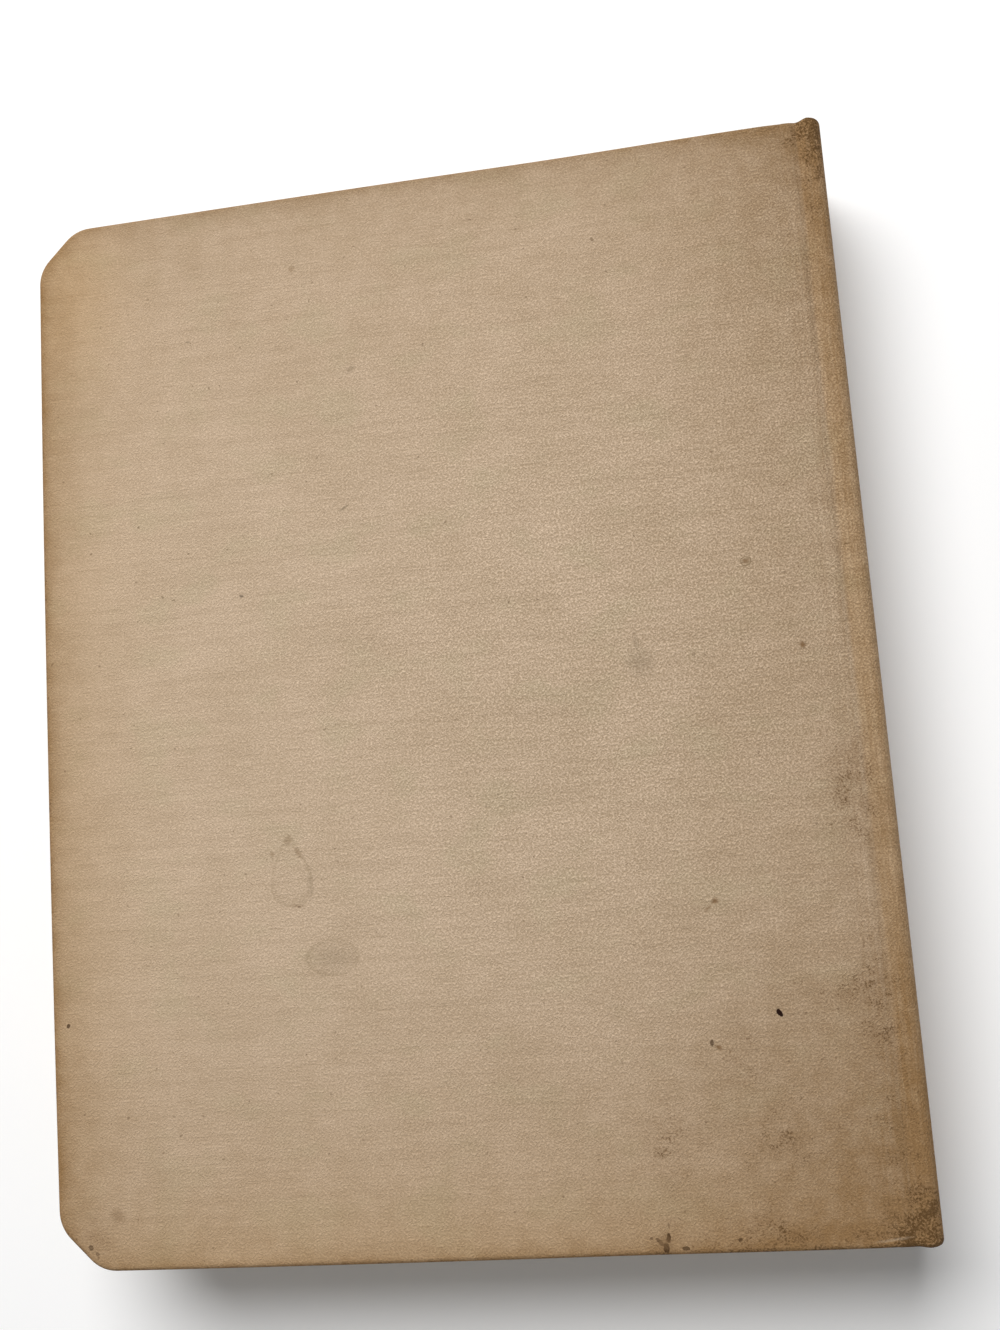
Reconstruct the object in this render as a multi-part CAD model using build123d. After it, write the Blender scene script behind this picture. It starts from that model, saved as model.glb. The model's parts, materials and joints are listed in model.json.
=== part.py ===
from build123d import *
import os
from math import asin, cos, sin, sqrt, pi

# A case-bound book that lies on its front cover, back cover up. Millimetres.
# X runs from the fore edge to the spine, Y from the tail to the head, Z upwards.
# The origin is under the middle of the shut book, on the surface that it lies on.

# The shut book
cover_width = 178.0     # fore edge to the spine's outer face
cover_height = 229.0    # tail to head of a covered board
book_depth = 34.0       # outer face of one cover to outer face of the other

# Sheets and boards, by thickness
cloth_thick = 0.4
board_thick = 2.2
paper_thick = 0.2       # endpapers
mull_thick = 0.25       # open-weave cloth on the pages' spine
lining_thick = 0.2
strip_thick = 1.0       # card strip inside the spine cloth

# Covers
square = 3.0            # how far a cover reaches past the pages
turn_in = 15.0          # width of cloth folded over a board's inner face
corner_cut = 9.0        # leg of the cut-off corners at the fore edge
corner_round = 8.0      # rounding where a cut meets the straight edges
spine_corner_round = 1.5
board_edge_round = 0.6

# Joints and spine
joint_room = 0.4        # what the joint is wider than the cover is thick
joint_clear = 0.3       # between a cover's edge and the ridge that it swings round
ridge_drop = 0.5        # how far the ridges lie below the covers' outer faces
spine_round = 2.5       # rounding of the spine's long edges
shoulder_round = 1.0    # rounding of the mull over the pages' shoulders
cap_rise = 0.7          # how far the spine's ends stand past the boards

# Fits
leaf_gap = 0.15         # between a shut cover and the leaf under it
glue_line = 0.05
hollow_clear = 0.2      # air between the spine's turn-ins and the lining
mull_fit = 0.3          # between the mull's ends and the covers' turn-ins

# Mull, lining and bands
mull_flap_width = 25.0
lining_setback = 4.0    # from the pages' head or tail to the lining's end
band_width = 2.6
band_rise = 2.2
band_round = 1.0

# Every cut runs on past the piece that it cuts by this much
overrun = 1.0

# Two lines at a right angle lose this share of an inset on the line that cuts their corner
cut_inset_share = 2 - sqrt(2)

# Depths below the back cover's outer face
board_outer = cloth_thick
board_inner = board_outer + board_thick
wrap_inner = board_inner + cloth_thick
cover_stack = wrap_inner + paper_thick

# The spine's layers, outwards from the pages' spine, which is also where the hinge lines run
hollow_gap = cloth_thick + hollow_clear
lining_face = mull_thick + lining_thick
strip_inner = lining_face + hollow_gap
strip_outer = strip_inner + strip_thick
spine_face = strip_outer + glue_line + cloth_thick

# Hinge lines: at the pages' spine, level with the inner face of each cover
hinge_x = cover_width / 2 - spine_face
middle_z = book_depth / 2
hinge_rise = middle_z - cover_stack

# Joint: a ridge concentric with the hinge line, and the cover's edge just outside it
joint_reach = cover_stack + joint_room
ridge_radius = joint_reach - joint_clear
ridge_height = cover_stack - ridge_drop
cover_spine_x = hinge_x - joint_reach
board_spine_x = cover_spine_x - cloth_thick

# Mull and pages under the ridge
mull_inset = cloth_thick + glue_line
mull_radius = ridge_radius - mull_inset
mull_height = ridge_height - mull_inset
page_radius = mull_radius - mull_thick
page_height = mull_height - mull_thick

# Half lengths along the spine
board_half = cover_height / 2
case_half = board_half + cap_rise
page_half = board_half - square
well_half = board_half - turn_in
mull_half = well_half - mull_fit

# Places along X
fore_x = -cover_width / 2
well_x = fore_x + turn_in
flap_x = board_spine_x - mull_flap_width

# Upper face of the pages, under the back flyleaf
page_top = book_depth - cover_stack - leaf_gap - paper_thick
page_bottom = book_depth - page_top


def block(x_low, x_high, y_low, y_high, z_low, z_high):
    """Box between two corners."""
    box = Box(x_high - x_low, y_high - y_low, z_high - z_low, align=(Align.MIN, Align.MIN, Align.MIN))
    return Pos(x_low, y_low, z_low) * box


def cover_block(x_low, x_high, half_length, depth_low, depth_high):
    """Box centred along the spine, between two depths below the back cover's outer face."""
    z_low = book_depth - depth_high
    z_high = book_depth - depth_low
    return block(x_low, x_high, -half_length, half_length, z_low, z_high)


def leaf_face(inset, spine_x):
    """Outline of boards and leaves: a rectangle whose two fore-edge corners are cut off and rounded."""
    fore = fore_x + inset
    head = board_half - inset
    leg = corner_cut - inset * cut_inset_share
    points = [
        (spine_x, -head),
        (spine_x, head),
        (fore + leg, head),
        (fore, head - leg),
        (fore, leg - head),
        (fore + leg, -head),
    ]
    face = make_face(Polyline(*points, close=True))
    cut_ends = face.vertices().sort_by(Axis.X)[:4]
    return fillet(cut_ends, corner_round - inset)


def leaf_slab(face, depth_low, depth_high):
    """An outline made solid between two depths below the back cover's outer face."""
    bottom = Pos(0, 0, book_depth - depth_high) * face
    return extrude(bottom, amount=depth_high - depth_low, dir=(0, 0, 1))


def soft_slab(inset, spine_x, depth_low, depth_high, edge_round):
    """A board's solid, inset from the covered board, with rounded corners and rims."""
    face = leaf_face(inset, spine_x)
    spine_corners = face.vertices().sort_by(Axis.X)[-2:]
    face = fillet(spine_corners, spine_corner_round - inset)
    solid = leaf_slab(face, depth_low, depth_high)
    flats = solid.faces().filter_by(Axis.Z)
    return fillet(flats.edges(), edge_round)


def spine_prism(radius, height, face_reach, corner, half_length):
    """Solid round the spine: both ridges are arcs about the hinge lines, then flat, then a rounded spine edge."""
    swing = asin(height / radius)
    crest = sqrt(radius**2 - height**2)

    def half_outline(side):
        def at(across, up):
            return (hinge_x + across, middle_z + side * (hinge_rise + up))

        foot = at(-radius, 0)
        climb = at(-radius * cos(swing / 2), radius * sin(swing / 2))
        ridge_start = at(-crest, height)
        ridge_end = at(face_reach - corner, height)
        bulge = corner * sin(pi / 4)
        turn = at(face_reach - corner + bulge, height - corner + bulge)
        side_end = at(face_reach, height - corner)
        edges = [
            ThreePointArc(foot, climb, ridge_start),
            Line(ridge_start, ridge_end),
            ThreePointArc(ridge_end, turn, side_end),
        ]
        return edges, foot, side_end

    back, back_foot, back_side = half_outline(1)
    front, front_foot, front_side = half_outline(-1)
    closing = [Line(back_side, front_side), Line(front_foot, back_foot)]
    section = Plane.XZ * make_face(back + front + closing)
    return extrude(section, amount=half_length, both=True)


def spine_wrap(radius, height, face_reach, corner, thick, half_length):
    """A sheet bent round the spine and both ridges, open towards the pages."""
    outer = spine_prism(radius, height, face_reach, corner, half_length)
    inner = spine_prism(radius - thick, height - thick, face_reach - thick, corner - thick, half_length + overrun)
    page_side = block(
        hinge_x - radius - overrun,
        hinge_x,
        -half_length - overrun,
        half_length + overrun,
        middle_z - hinge_rise,
        middle_z + hinge_rise,
    )
    return outer - inner - page_side


def make_text_block():
    """Pages, with their outer sections bent out into shoulders at the spine."""
    pages = leaf_slab(leaf_face(square, hinge_x), book_depth - page_top, book_depth - page_bottom)
    shoulders = spine_prism(page_radius, page_height, 0, shoulder_round - mull_thick, page_half)
    return pages + shoulders


def make_flyleaf():
    """Free half of the back endpaper, on the pages and up to the shoulder."""
    face = leaf_face(square, hinge_x - page_radius)
    return leaf_slab(face, cover_stack + leaf_gap, cover_stack + leaf_gap + paper_thick)


def make_spine_mull():
    """Open-weave cloth over the pages' spine and shoulders."""
    return spine_wrap(mull_radius, mull_height, mull_thick, shoulder_round, mull_thick, mull_half)


def make_spine_lining():
    """Paper on the flat of the mull."""
    reach = hinge_rise + mull_height - shoulder_round
    half = page_half - lining_setback
    return block(
        hinge_x + mull_thick,
        hinge_x + lining_face,
        -half,
        half,
        middle_z - reach,
        middle_z + reach,
    )


def spine_inside(inset, half_length):
    """What the spine cloth encloses, inset from its outer face."""
    return spine_prism(
        ridge_radius - inset, ridge_height - inset, spine_face - inset, spine_round - inset, half_length
    )


def spine_layer(inner, outer, y_low, y_high):
    """Box across the whole spine, between two distances outside the pages' spine."""
    return block(hinge_x + inner, hinge_x + outer, y_low, y_high, 0, book_depth)


def make_spine_strip():
    """Card strip inside the spine cloth, rounded to fit it."""
    half = case_half - cloth_thick - glue_line
    return spine_inside(cloth_thick + glue_line, half) & spine_layer(strip_inner, strip_outer, -half, half)


def make_spine_cloth():
    """Cloth round the spine, folded in over the ends of its strip."""
    wrap = spine_wrap(ridge_radius, ridge_height, spine_face, spine_round, cloth_thick, case_half)
    inside = spine_inside(cloth_thick, case_half)
    fold = strip_inner - cloth_thick
    tail_cap = spine_layer(fold, spine_face, -case_half, cloth_thick - case_half)
    head_cap = spine_layer(fold, spine_face, case_half - cloth_thick, case_half)
    tail_fold = spine_layer(fold, strip_inner, -case_half, turn_in - case_half)
    head_fold = spine_layer(fold, strip_inner, case_half - turn_in, case_half)
    for layer in (tail_cap, head_cap, tail_fold, head_fold):
        wrap = wrap + (inside & layer)
    return wrap


def make_band(side):
    """Rolled band on the head (side 1) or tail (side -1) of the pages' spine."""
    near = side * page_half
    far = side * (page_half + band_rise)
    bead = block(hinge_x - band_width, hinge_x, min(near, far), max(near, far), page_bottom, page_top)
    rims = bead.edges().filter_by(Axis.Z).sort_by(Axis.Y)
    outer_rims = rims[-2:] if side > 0 else rims[:2]
    return fillet(outer_rims, band_round)


def make_board():
    """Greyboard of the back cover."""
    return soft_slab(cloth_thick, board_spine_x, board_outer, board_inner, board_edge_round)


def make_cover_cloth(board):
    """Cloth over the back board, turned in at head, tail and fore edge."""
    cloth_round = board_edge_round + cloth_thick
    covered = soft_slab(0, cover_spine_x, 0, wrap_inner, cloth_round)
    well = cover_block(well_x, cover_spine_x + overrun, well_half, board_inner, wrap_inner + overrun)
    return covered - board - well


def make_mull_flap():
    """Flap of the mull, glued to the back board's inner face."""
    return cover_block(flap_x, board_spine_x, mull_half, board_inner, board_inner + mull_thick)


def make_pastedown(flap):
    """Glued half of the back endpaper, which steps down inside the turn-ins and up over the mull flap."""
    border = leaf_slab(leaf_face(square, board_spine_x), wrap_inner, cover_stack)
    well = cover_block(well_x, board_spine_x, well_half, board_inner, cover_stack)
    pocket_half = well_half - paper_thick
    flap_step = flap_x - paper_thick
    below = cover_stack + overrun
    pocket = cover_block(well_x + paper_thick, flap_step, pocket_half, board_inner + paper_thick, below)
    over_flap = board_inner + mull_thick + paper_thick
    flap_pocket = cover_block(flap_step, board_spine_x + overrun, pocket_half, over_flap, below)
    return border + well - pocket - flap_pocket - flap


def make_pieces():
    """Every piece of the book by name. The front cover mirrors the back cover."""
    back = {"board": make_board(), "mull_flap": make_mull_flap(), "flyleaf": make_flyleaf()}
    back["cloth"] = make_cover_cloth(back["board"])
    back["pastedown"] = make_pastedown(back["mull_flap"])
    pieces = {
        "text_block": make_text_block(),
        "spine_mull": make_spine_mull(),
        "spine_lining": make_spine_lining(),
        "spine_strip": make_spine_strip(),
        "spine_cloth": make_spine_cloth(),
        "head_band": make_band(1),
        "tail_band": make_band(-1),
    }
    middle = Plane.XY.offset(middle_z)
    for name, shape in back.items():
        pieces["back_" + name] = shape
        pieces["front_" + name] = mirror(shape, about=middle)
    return pieces


os.makedirs("parts", exist_ok=True)
for node, shape in make_pieces().items():
    export_step(shape, f"parts/{node}.step")
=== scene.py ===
"""Looks of a worn, cloth-bound cookbook that lies shut on its front cover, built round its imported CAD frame.

Shapes are worked out in millimetres with numpy and become metres when a mesh is made.
X runs from the fore edge to the spine, Y from the tail to the head, Z upwards.
"""
import json
import logging
import math
from dataclasses import dataclass, field, replace
from enum import Enum
from typing import Any, Optional

import bpy
import numpy as np
from mathutils import Matrix, Vector


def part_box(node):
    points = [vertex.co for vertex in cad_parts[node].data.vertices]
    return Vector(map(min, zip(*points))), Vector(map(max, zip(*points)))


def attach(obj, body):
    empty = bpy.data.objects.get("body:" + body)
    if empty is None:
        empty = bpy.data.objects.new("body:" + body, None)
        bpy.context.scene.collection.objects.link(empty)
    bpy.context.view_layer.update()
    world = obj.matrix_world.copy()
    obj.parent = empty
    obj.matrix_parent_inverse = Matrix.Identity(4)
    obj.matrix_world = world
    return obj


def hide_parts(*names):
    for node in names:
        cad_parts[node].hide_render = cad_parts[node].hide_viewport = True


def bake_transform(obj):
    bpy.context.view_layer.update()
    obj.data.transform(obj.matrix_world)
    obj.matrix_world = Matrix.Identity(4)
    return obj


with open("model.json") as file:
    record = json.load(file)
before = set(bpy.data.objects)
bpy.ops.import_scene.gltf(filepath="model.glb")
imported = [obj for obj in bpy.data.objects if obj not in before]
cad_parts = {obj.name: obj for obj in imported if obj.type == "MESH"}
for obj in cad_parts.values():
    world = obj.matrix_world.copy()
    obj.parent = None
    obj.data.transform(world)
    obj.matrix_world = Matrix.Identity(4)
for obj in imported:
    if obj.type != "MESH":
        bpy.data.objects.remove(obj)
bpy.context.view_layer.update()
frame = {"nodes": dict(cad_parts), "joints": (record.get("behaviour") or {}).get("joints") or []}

Array = np.ndarray
Socket = bpy.types.NodeSocket
Colour = tuple[float, float, float]

LOG = logging.getLogger("cookbook")
MM = 0.001
WELD = 1e-4
# the toning attribute carries brown toning, and on the cover painted shade as well
FLAT_MAP = "flat_mm"
# the grime attribute carries dirt, and along the rims painted shade as well
TONING_AND_SHADE = "toning"
GRIME_AND_RIM_SHADE = "grime"
JOINT = "joint"
# attribute for the strength of the painted shade and highlight on the weave
RELIEF_SHADING = "relief_shading"
WARM = "warm"

# A fillet between two lines 45 degrees apart touches them this share of its radius from their corner
TANGENT_SHARE = math.tan(math.pi / 8)
# Height of a 45 degree arc over its radius
ARC_SHARE = 1 - math.cos(math.pi / 4)
# Two lines at a right angle lose this share of an inset on the line that cuts their corner
CUT_INSET_SHARE = 2 - math.sqrt(2)


def smooth(value: Array, low: float, high: float) -> Array:
    """Eases from 0 at low to 1 at high: t*t*(3 - 2t), with t held between 0 and 1.

    Args:
        value: Numbers to ease.
        low: Where the ease starts.
        high: Where the ease ends.

    Returns:
        The eased numbers, in the shape of value.
    """
    share = np.clip((value - low) / (high - low), 0.0, 1.0)
    return share * share * (3.0 - 2.0 * share)


def uneased(eased: Array) -> Array:
    """Undoes smooth: the share whose ease is each number w, as 0.5 - sin(asin(1 - 2w) / 3)."""
    return 0.5 - np.sin(np.arcsin(1.0 - 2.0 * eased) / 3.0)


def crowded(count: int, crowd: float) -> Array:
    """Shares from 0 to 1 that lie closer together at both ends: a scaled tanh of even steps.

    Args:
        count: How many shares.
        crowd: How strongly they gather at the ends.

    Returns:
        The shares.
    """
    even = np.linspace(-1.0, 1.0, count)
    return 0.5 + 0.5 * np.tanh(crowd * even) / math.tanh(crowd)


def rim_of(grid: Array) -> Array:
    """The border of a grid as one loop, anticlockwise from above, without its first point again."""
    return np.concatenate([grid[0, :-1], grid[:-1, -1], grid[-1, :0:-1], grid[:0:-1, 0]])


def outward(loop: Array) -> Array:
    """Unit directions that point out of a flat anticlockwise loop: its mean tangents, turned right.

    Args:
        loop: The loop's points, (count, 2).

    Returns:
        One direction for each point, (count, 2).
    """
    step = np.roll(loop, -1, axis=0) - loop
    step = step / np.linalg.norm(step, axis=1, keepdims=True)
    along = step + np.roll(step, 1, axis=0)
    along = along / np.linalg.norm(along, axis=1, keepdims=True)
    return np.stack([along[:, 1], -along[:, 0]], axis=1)


def closed(rings: Array) -> Array:
    """Rings with their first column repeated at the end, so that a grid of them closes."""
    return np.concatenate([rings, rings[:, :1]], axis=1)


class CoverSide(Enum):
    """Which cover a piece belongs to."""

    BACK = "back"
    FRONT = "front"


class BookEnd(Enum):
    """Which end of the spine a piece belongs to."""

    HEAD = 1
    TAIL = -1


@dataclass(frozen=True)
class BookSizes:
    """The book's main places in millimetres, read from the frame, and the few that it can't give."""

    fore: float
    spine: float
    half: float
    depth: float
    cover_spine: float
    cover_inner: float
    leaf_top: float
    page_top: float
    page_half: float
    flap: float
    hinge: float
    hinge_rise: float
    ridge_radius: float
    ridge_height: float
    turn_in: float = 15.0
    corner_cut: float = 9.0
    corner_round: float = 8.0
    spine_corner: float = 1.5
    cloth_thick: float = 0.4
    paper_thick: float = 0.2

    @classmethod
    def read(cls) -> "BookSizes":
        """Takes the places from the frame's nodes and its back hinge.

        Returns:
            The book's sizes.
        """
        cloth_low, cloth_high = node_box("back_cloth")
        _, page_high = node_box("text_block")
        leaf_low, leaf_high = node_box("back_flyleaf")
        spine_low, spine_high = node_box("spine_cloth")
        flap_low, _ = node_box("back_mull_flap")
        joint = next(j for j in frame["joints"] if j["child"] == "back_cover")
        hinge, _, rise = np.array(joint["pos_m"]) / MM
        return cls(
            fore=cloth_low[0],
            spine=spine_high[0],
            half=cloth_high[1],
            depth=cloth_high[2],
            cover_spine=cloth_high[0],
            cover_inner=cloth_low[2],
            leaf_top=leaf_high[2],
            page_top=leaf_low[2],
            page_half=page_high[1],
            flap=flap_low[0],
            hinge=hinge,
            hinge_rise=rise,
            ridge_radius=hinge - spine_low[0],
            ridge_height=spine_high[2] - rise,
        )

    @property
    def middle(self) -> float:
        """Z of the book's middle plane."""
        return self.depth / 2


def node_box(name: str) -> tuple[Array, Array]:
    """A CAD node's lowest and highest corner in millimetres."""
    low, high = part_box(name)
    return np.round(np.array(low) / MM, 3), np.round(np.array(high) / MM, 3)


@dataclass(frozen=True)
class LeafOutline:
    """Outline of boards and leaves: a rectangle whose two fore-edge corners are cut off and rounded."""

    fore: float
    spine: float
    half: float
    cut: float
    cut_round: float
    spine_corner: float
    fore_bow: float = 0.0
    end_bow: float = 0.0
    head_flare: float = 0.0
    tail_flare: float = 0.0
    flare_reach: float = 60.0
    least_round: float = 0.05
    least_step: float = 0.01
    arc_points: int = 9
    slope_points: int = 4

    def inset(self, margin: float, spine: float) -> "LeafOutline":
        """The same outline, drawn in by a margin on three sides.

        Args:
            margin: How far the head, tail and fore edge move in.
            spine: X of the new outline's spine side.

        Returns:
            The smaller outline.
        """
        return replace(
            self,
            fore=self.fore + margin,
            spine=spine,
            half=self.half - margin,
            cut=self.cut - margin * CUT_INSET_SHARE,
            cut_round=self.cut_round - margin,
            spine_corner=max(self.spine_corner - margin, self.least_round),
        )

    def rows(self, count: int) -> Array:
        """Places along Y, gathered where the corners turn.

        Args:
            count: Rows on each half's straight stretch.

        Returns:
            Places from the tail to the head.
        """
        turn = np.linspace(0.0, math.pi / 4, self.arc_points)
        reach = self.cut + self.cut_round * TANGENT_SHARE
        head_arc = self.cut_round * (1.0 - np.cos(turn))
        fore_arc = reach - self.cut_round * np.sin(turn[::-1])
        slope = np.linspace(head_arc[-1], fore_arc[0], self.slope_points)
        straight = np.linspace(reach, self.half, count)
        from_head = np.sort(np.concatenate([head_arc, slope, fore_arc, straight]))
        from_head = from_head[np.diff(from_head, prepend=-1.0) > self.least_step]
        upper = self.half - from_head[::-1]
        return np.concatenate([-upper[:0:-1], upper])

    def left(self, from_end: Array) -> Array:
        """X of the fore side: an arc, the cut's straight slope, an arc, then the straight edge.

        Args:
            from_end: Distances from the head or tail.

        Returns:
            X at those distances.
        """
        r = self.cut_round
        reach = self.cut + r * TANGENT_SHARE
        end_arc = self.fore + reach - np.sqrt(np.maximum(r**2 - (r - from_end) ** 2, 0.0))
        slope = self.fore + self.cut - from_end
        side_arc = self.fore + r - np.sqrt(r**2 - np.clip(reach - from_end, 0.0, r) ** 2)
        places = [from_end < r * ARC_SHARE, from_end < self.cut - r * ARC_SHARE, from_end < reach]
        return np.select(places, [end_arc, slope, side_arc], self.fore)

    def right(self, from_end: Array) -> Array:
        """X of the spine side: a quarter arc, then straight.

        Args:
            from_end: Distances from the head or tail.

        Returns:
            X at those distances.
        """
        r = self.spine_corner
        return self.spine - r + np.sqrt(r**2 - np.clip(r - from_end, 0.0, r) ** 2)

    def grid(self, columns: int, rows: int, crowd: float = 1.8) -> Array:
        """Points all over the outline: each row is shared out between the fore side and the spine side.

        The fore edge, head and tail swell by parabolas, and head and tail flare out towards the spine.

        Args:
            columns: Points in a row.
            rows: Rows on each half's straight stretch.
            crowd: How strongly columns gather at both sides.

        Returns:
            Places, (rows, columns, 2).
        """
        y = self.rows(rows)[:, None]
        share = crowded(columns, crowd)[None, :]
        from_end = self.half - np.abs(y)
        left = self.left(from_end) - self.fore_bow * (1.0 - (y / self.half) ** 2)
        x = left + share * (self.right(from_end) - left)
        swell = self.end_bow * (1.0 - (2.0 * share - 1.0) ** 2)
        end_flare = np.where(y > 0.0, self.head_flare, self.tail_flare)
        flare = end_flare * smooth(x, self.spine - self.flare_reach, self.spine)
        return np.stack([x, y * (1.0 + (swell + flare) / self.half)], axis=-1)


@dataclass
class MeshDraft:
    """Gathers grids of points in millimetres and makes one welded mesh of them."""

    name: str
    mirror_depth: Optional[float] = None
    points: list[Array] = field(default_factory=list)
    flats: list[Array] = field(default_factory=list)
    faces: list[Array] = field(default_factory=list)
    values: dict[str, list[Array]] = field(default_factory=dict)
    count: int = 0

    def add(self, grid: Array, flat: Optional[Array] = None, turned: bool = False, **values: Array) -> None:
        """Adds a grid whose faces point along columns times rows.

        Args:
            grid: Points, (rows, columns, 3).
            flat: The points on the unrolled sheet, (rows, columns, 2), or X and Y where it is left out.
            turned: Turns the grid's faces round.
            values: One number a point for each named attribute.
        """
        index = np.arange(grid.shape[0] * grid.shape[1]).reshape(grid.shape[:2]) + self.count
        corners = [index[:-1, :-1], index[:-1, 1:], index[1:, 1:], index[1:, :-1]]
        faces = np.stack(corners, axis=-1).reshape(-1, 4)
        self.faces.append(faces[:, ::-1] if turned else faces)
        self.points.append(grid.reshape(-1, 3))
        self.flats.append((grid[..., :2] if flat is None else flat).reshape(-1, 2))
        for key, value in values.items():
            self.values.setdefault(key, []).append(np.broadcast_to(value, grid.shape[:2]).reshape(-1))
        self.count += index.size

    def build(self, thick: float = 0.0, sharp: float = 40.0) -> bpy.types.Object:
        """Welds equal points, drops faces without area and makes the object.

        Args:
            thick: Sheet thickness that a Solidify adds behind the faces, or 0 for a closed shape.
            sharp: Degrees between faces past which an edge stays sharp.

        Returns:
            The new object, at the origin.
        """
        points = np.concatenate(self.points)
        corners = np.concatenate(self.faces)
        if self.mirror_depth is not None:
            points = points * [1.0, 1.0, -1.0] + [0.0, 0.0, self.mirror_depth]
            corners = corners[:, ::-1]
        keys = np.round(points / WELD).astype(np.int64)
        _, first, welded = np.unique(keys, axis=0, return_index=True, return_inverse=True)
        quads = welded.reshape(-1)[corners]
        same = quads == np.roll(quads, -1, axis=1)
        folded = (quads[:, 0] == quads[:, 2]) | (quads[:, 1] == quads[:, 3])
        whole = (same.sum(axis=1) == 0) & ~folded
        three = (same.sum(axis=1) == 1) & ~folded
        kept = ~same[three]
        triangles = quads[three][kept].reshape(-1, 3)
        mesh = bpy.data.meshes.new(self.name)
        mesh.from_pydata((points[first] * MM).tolist(), [], quads[whole].tolist() + triangles.tolist())
        order = np.concatenate([corners[whole].reshape(-1), corners[three][kept]])
        layer = mesh.uv_layers.new(name=FLAT_MAP)
        layer.uv.foreach_set("vector", np.concatenate(self.flats)[order].astype(np.float32).reshape(-1))
        for key, value in self.values.items():
            attribute = mesh.attributes.new(key, "FLOAT", "POINT")
            attribute.data.foreach_set("value", np.concatenate(value)[first].astype(np.float32))
        mesh.polygons.foreach_set("use_smooth", np.ones(len(mesh.polygons), dtype=bool))
        mesh.set_sharp_from_angle(angle=math.radians(sharp))
        mesh.update()
        made = bpy.data.objects.new(self.name, mesh)
        bpy.context.scene.collection.objects.link(made)
        if thick:
            wall = made.modifiers.new("thickness", "SOLIDIFY")
            wall.thickness = thick * MM
            wall.offset = -1.0
        LOG.info("%s: %d points, %d faces", self.name, len(mesh.vertices), len(mesh.polygons))
        return made


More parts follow.
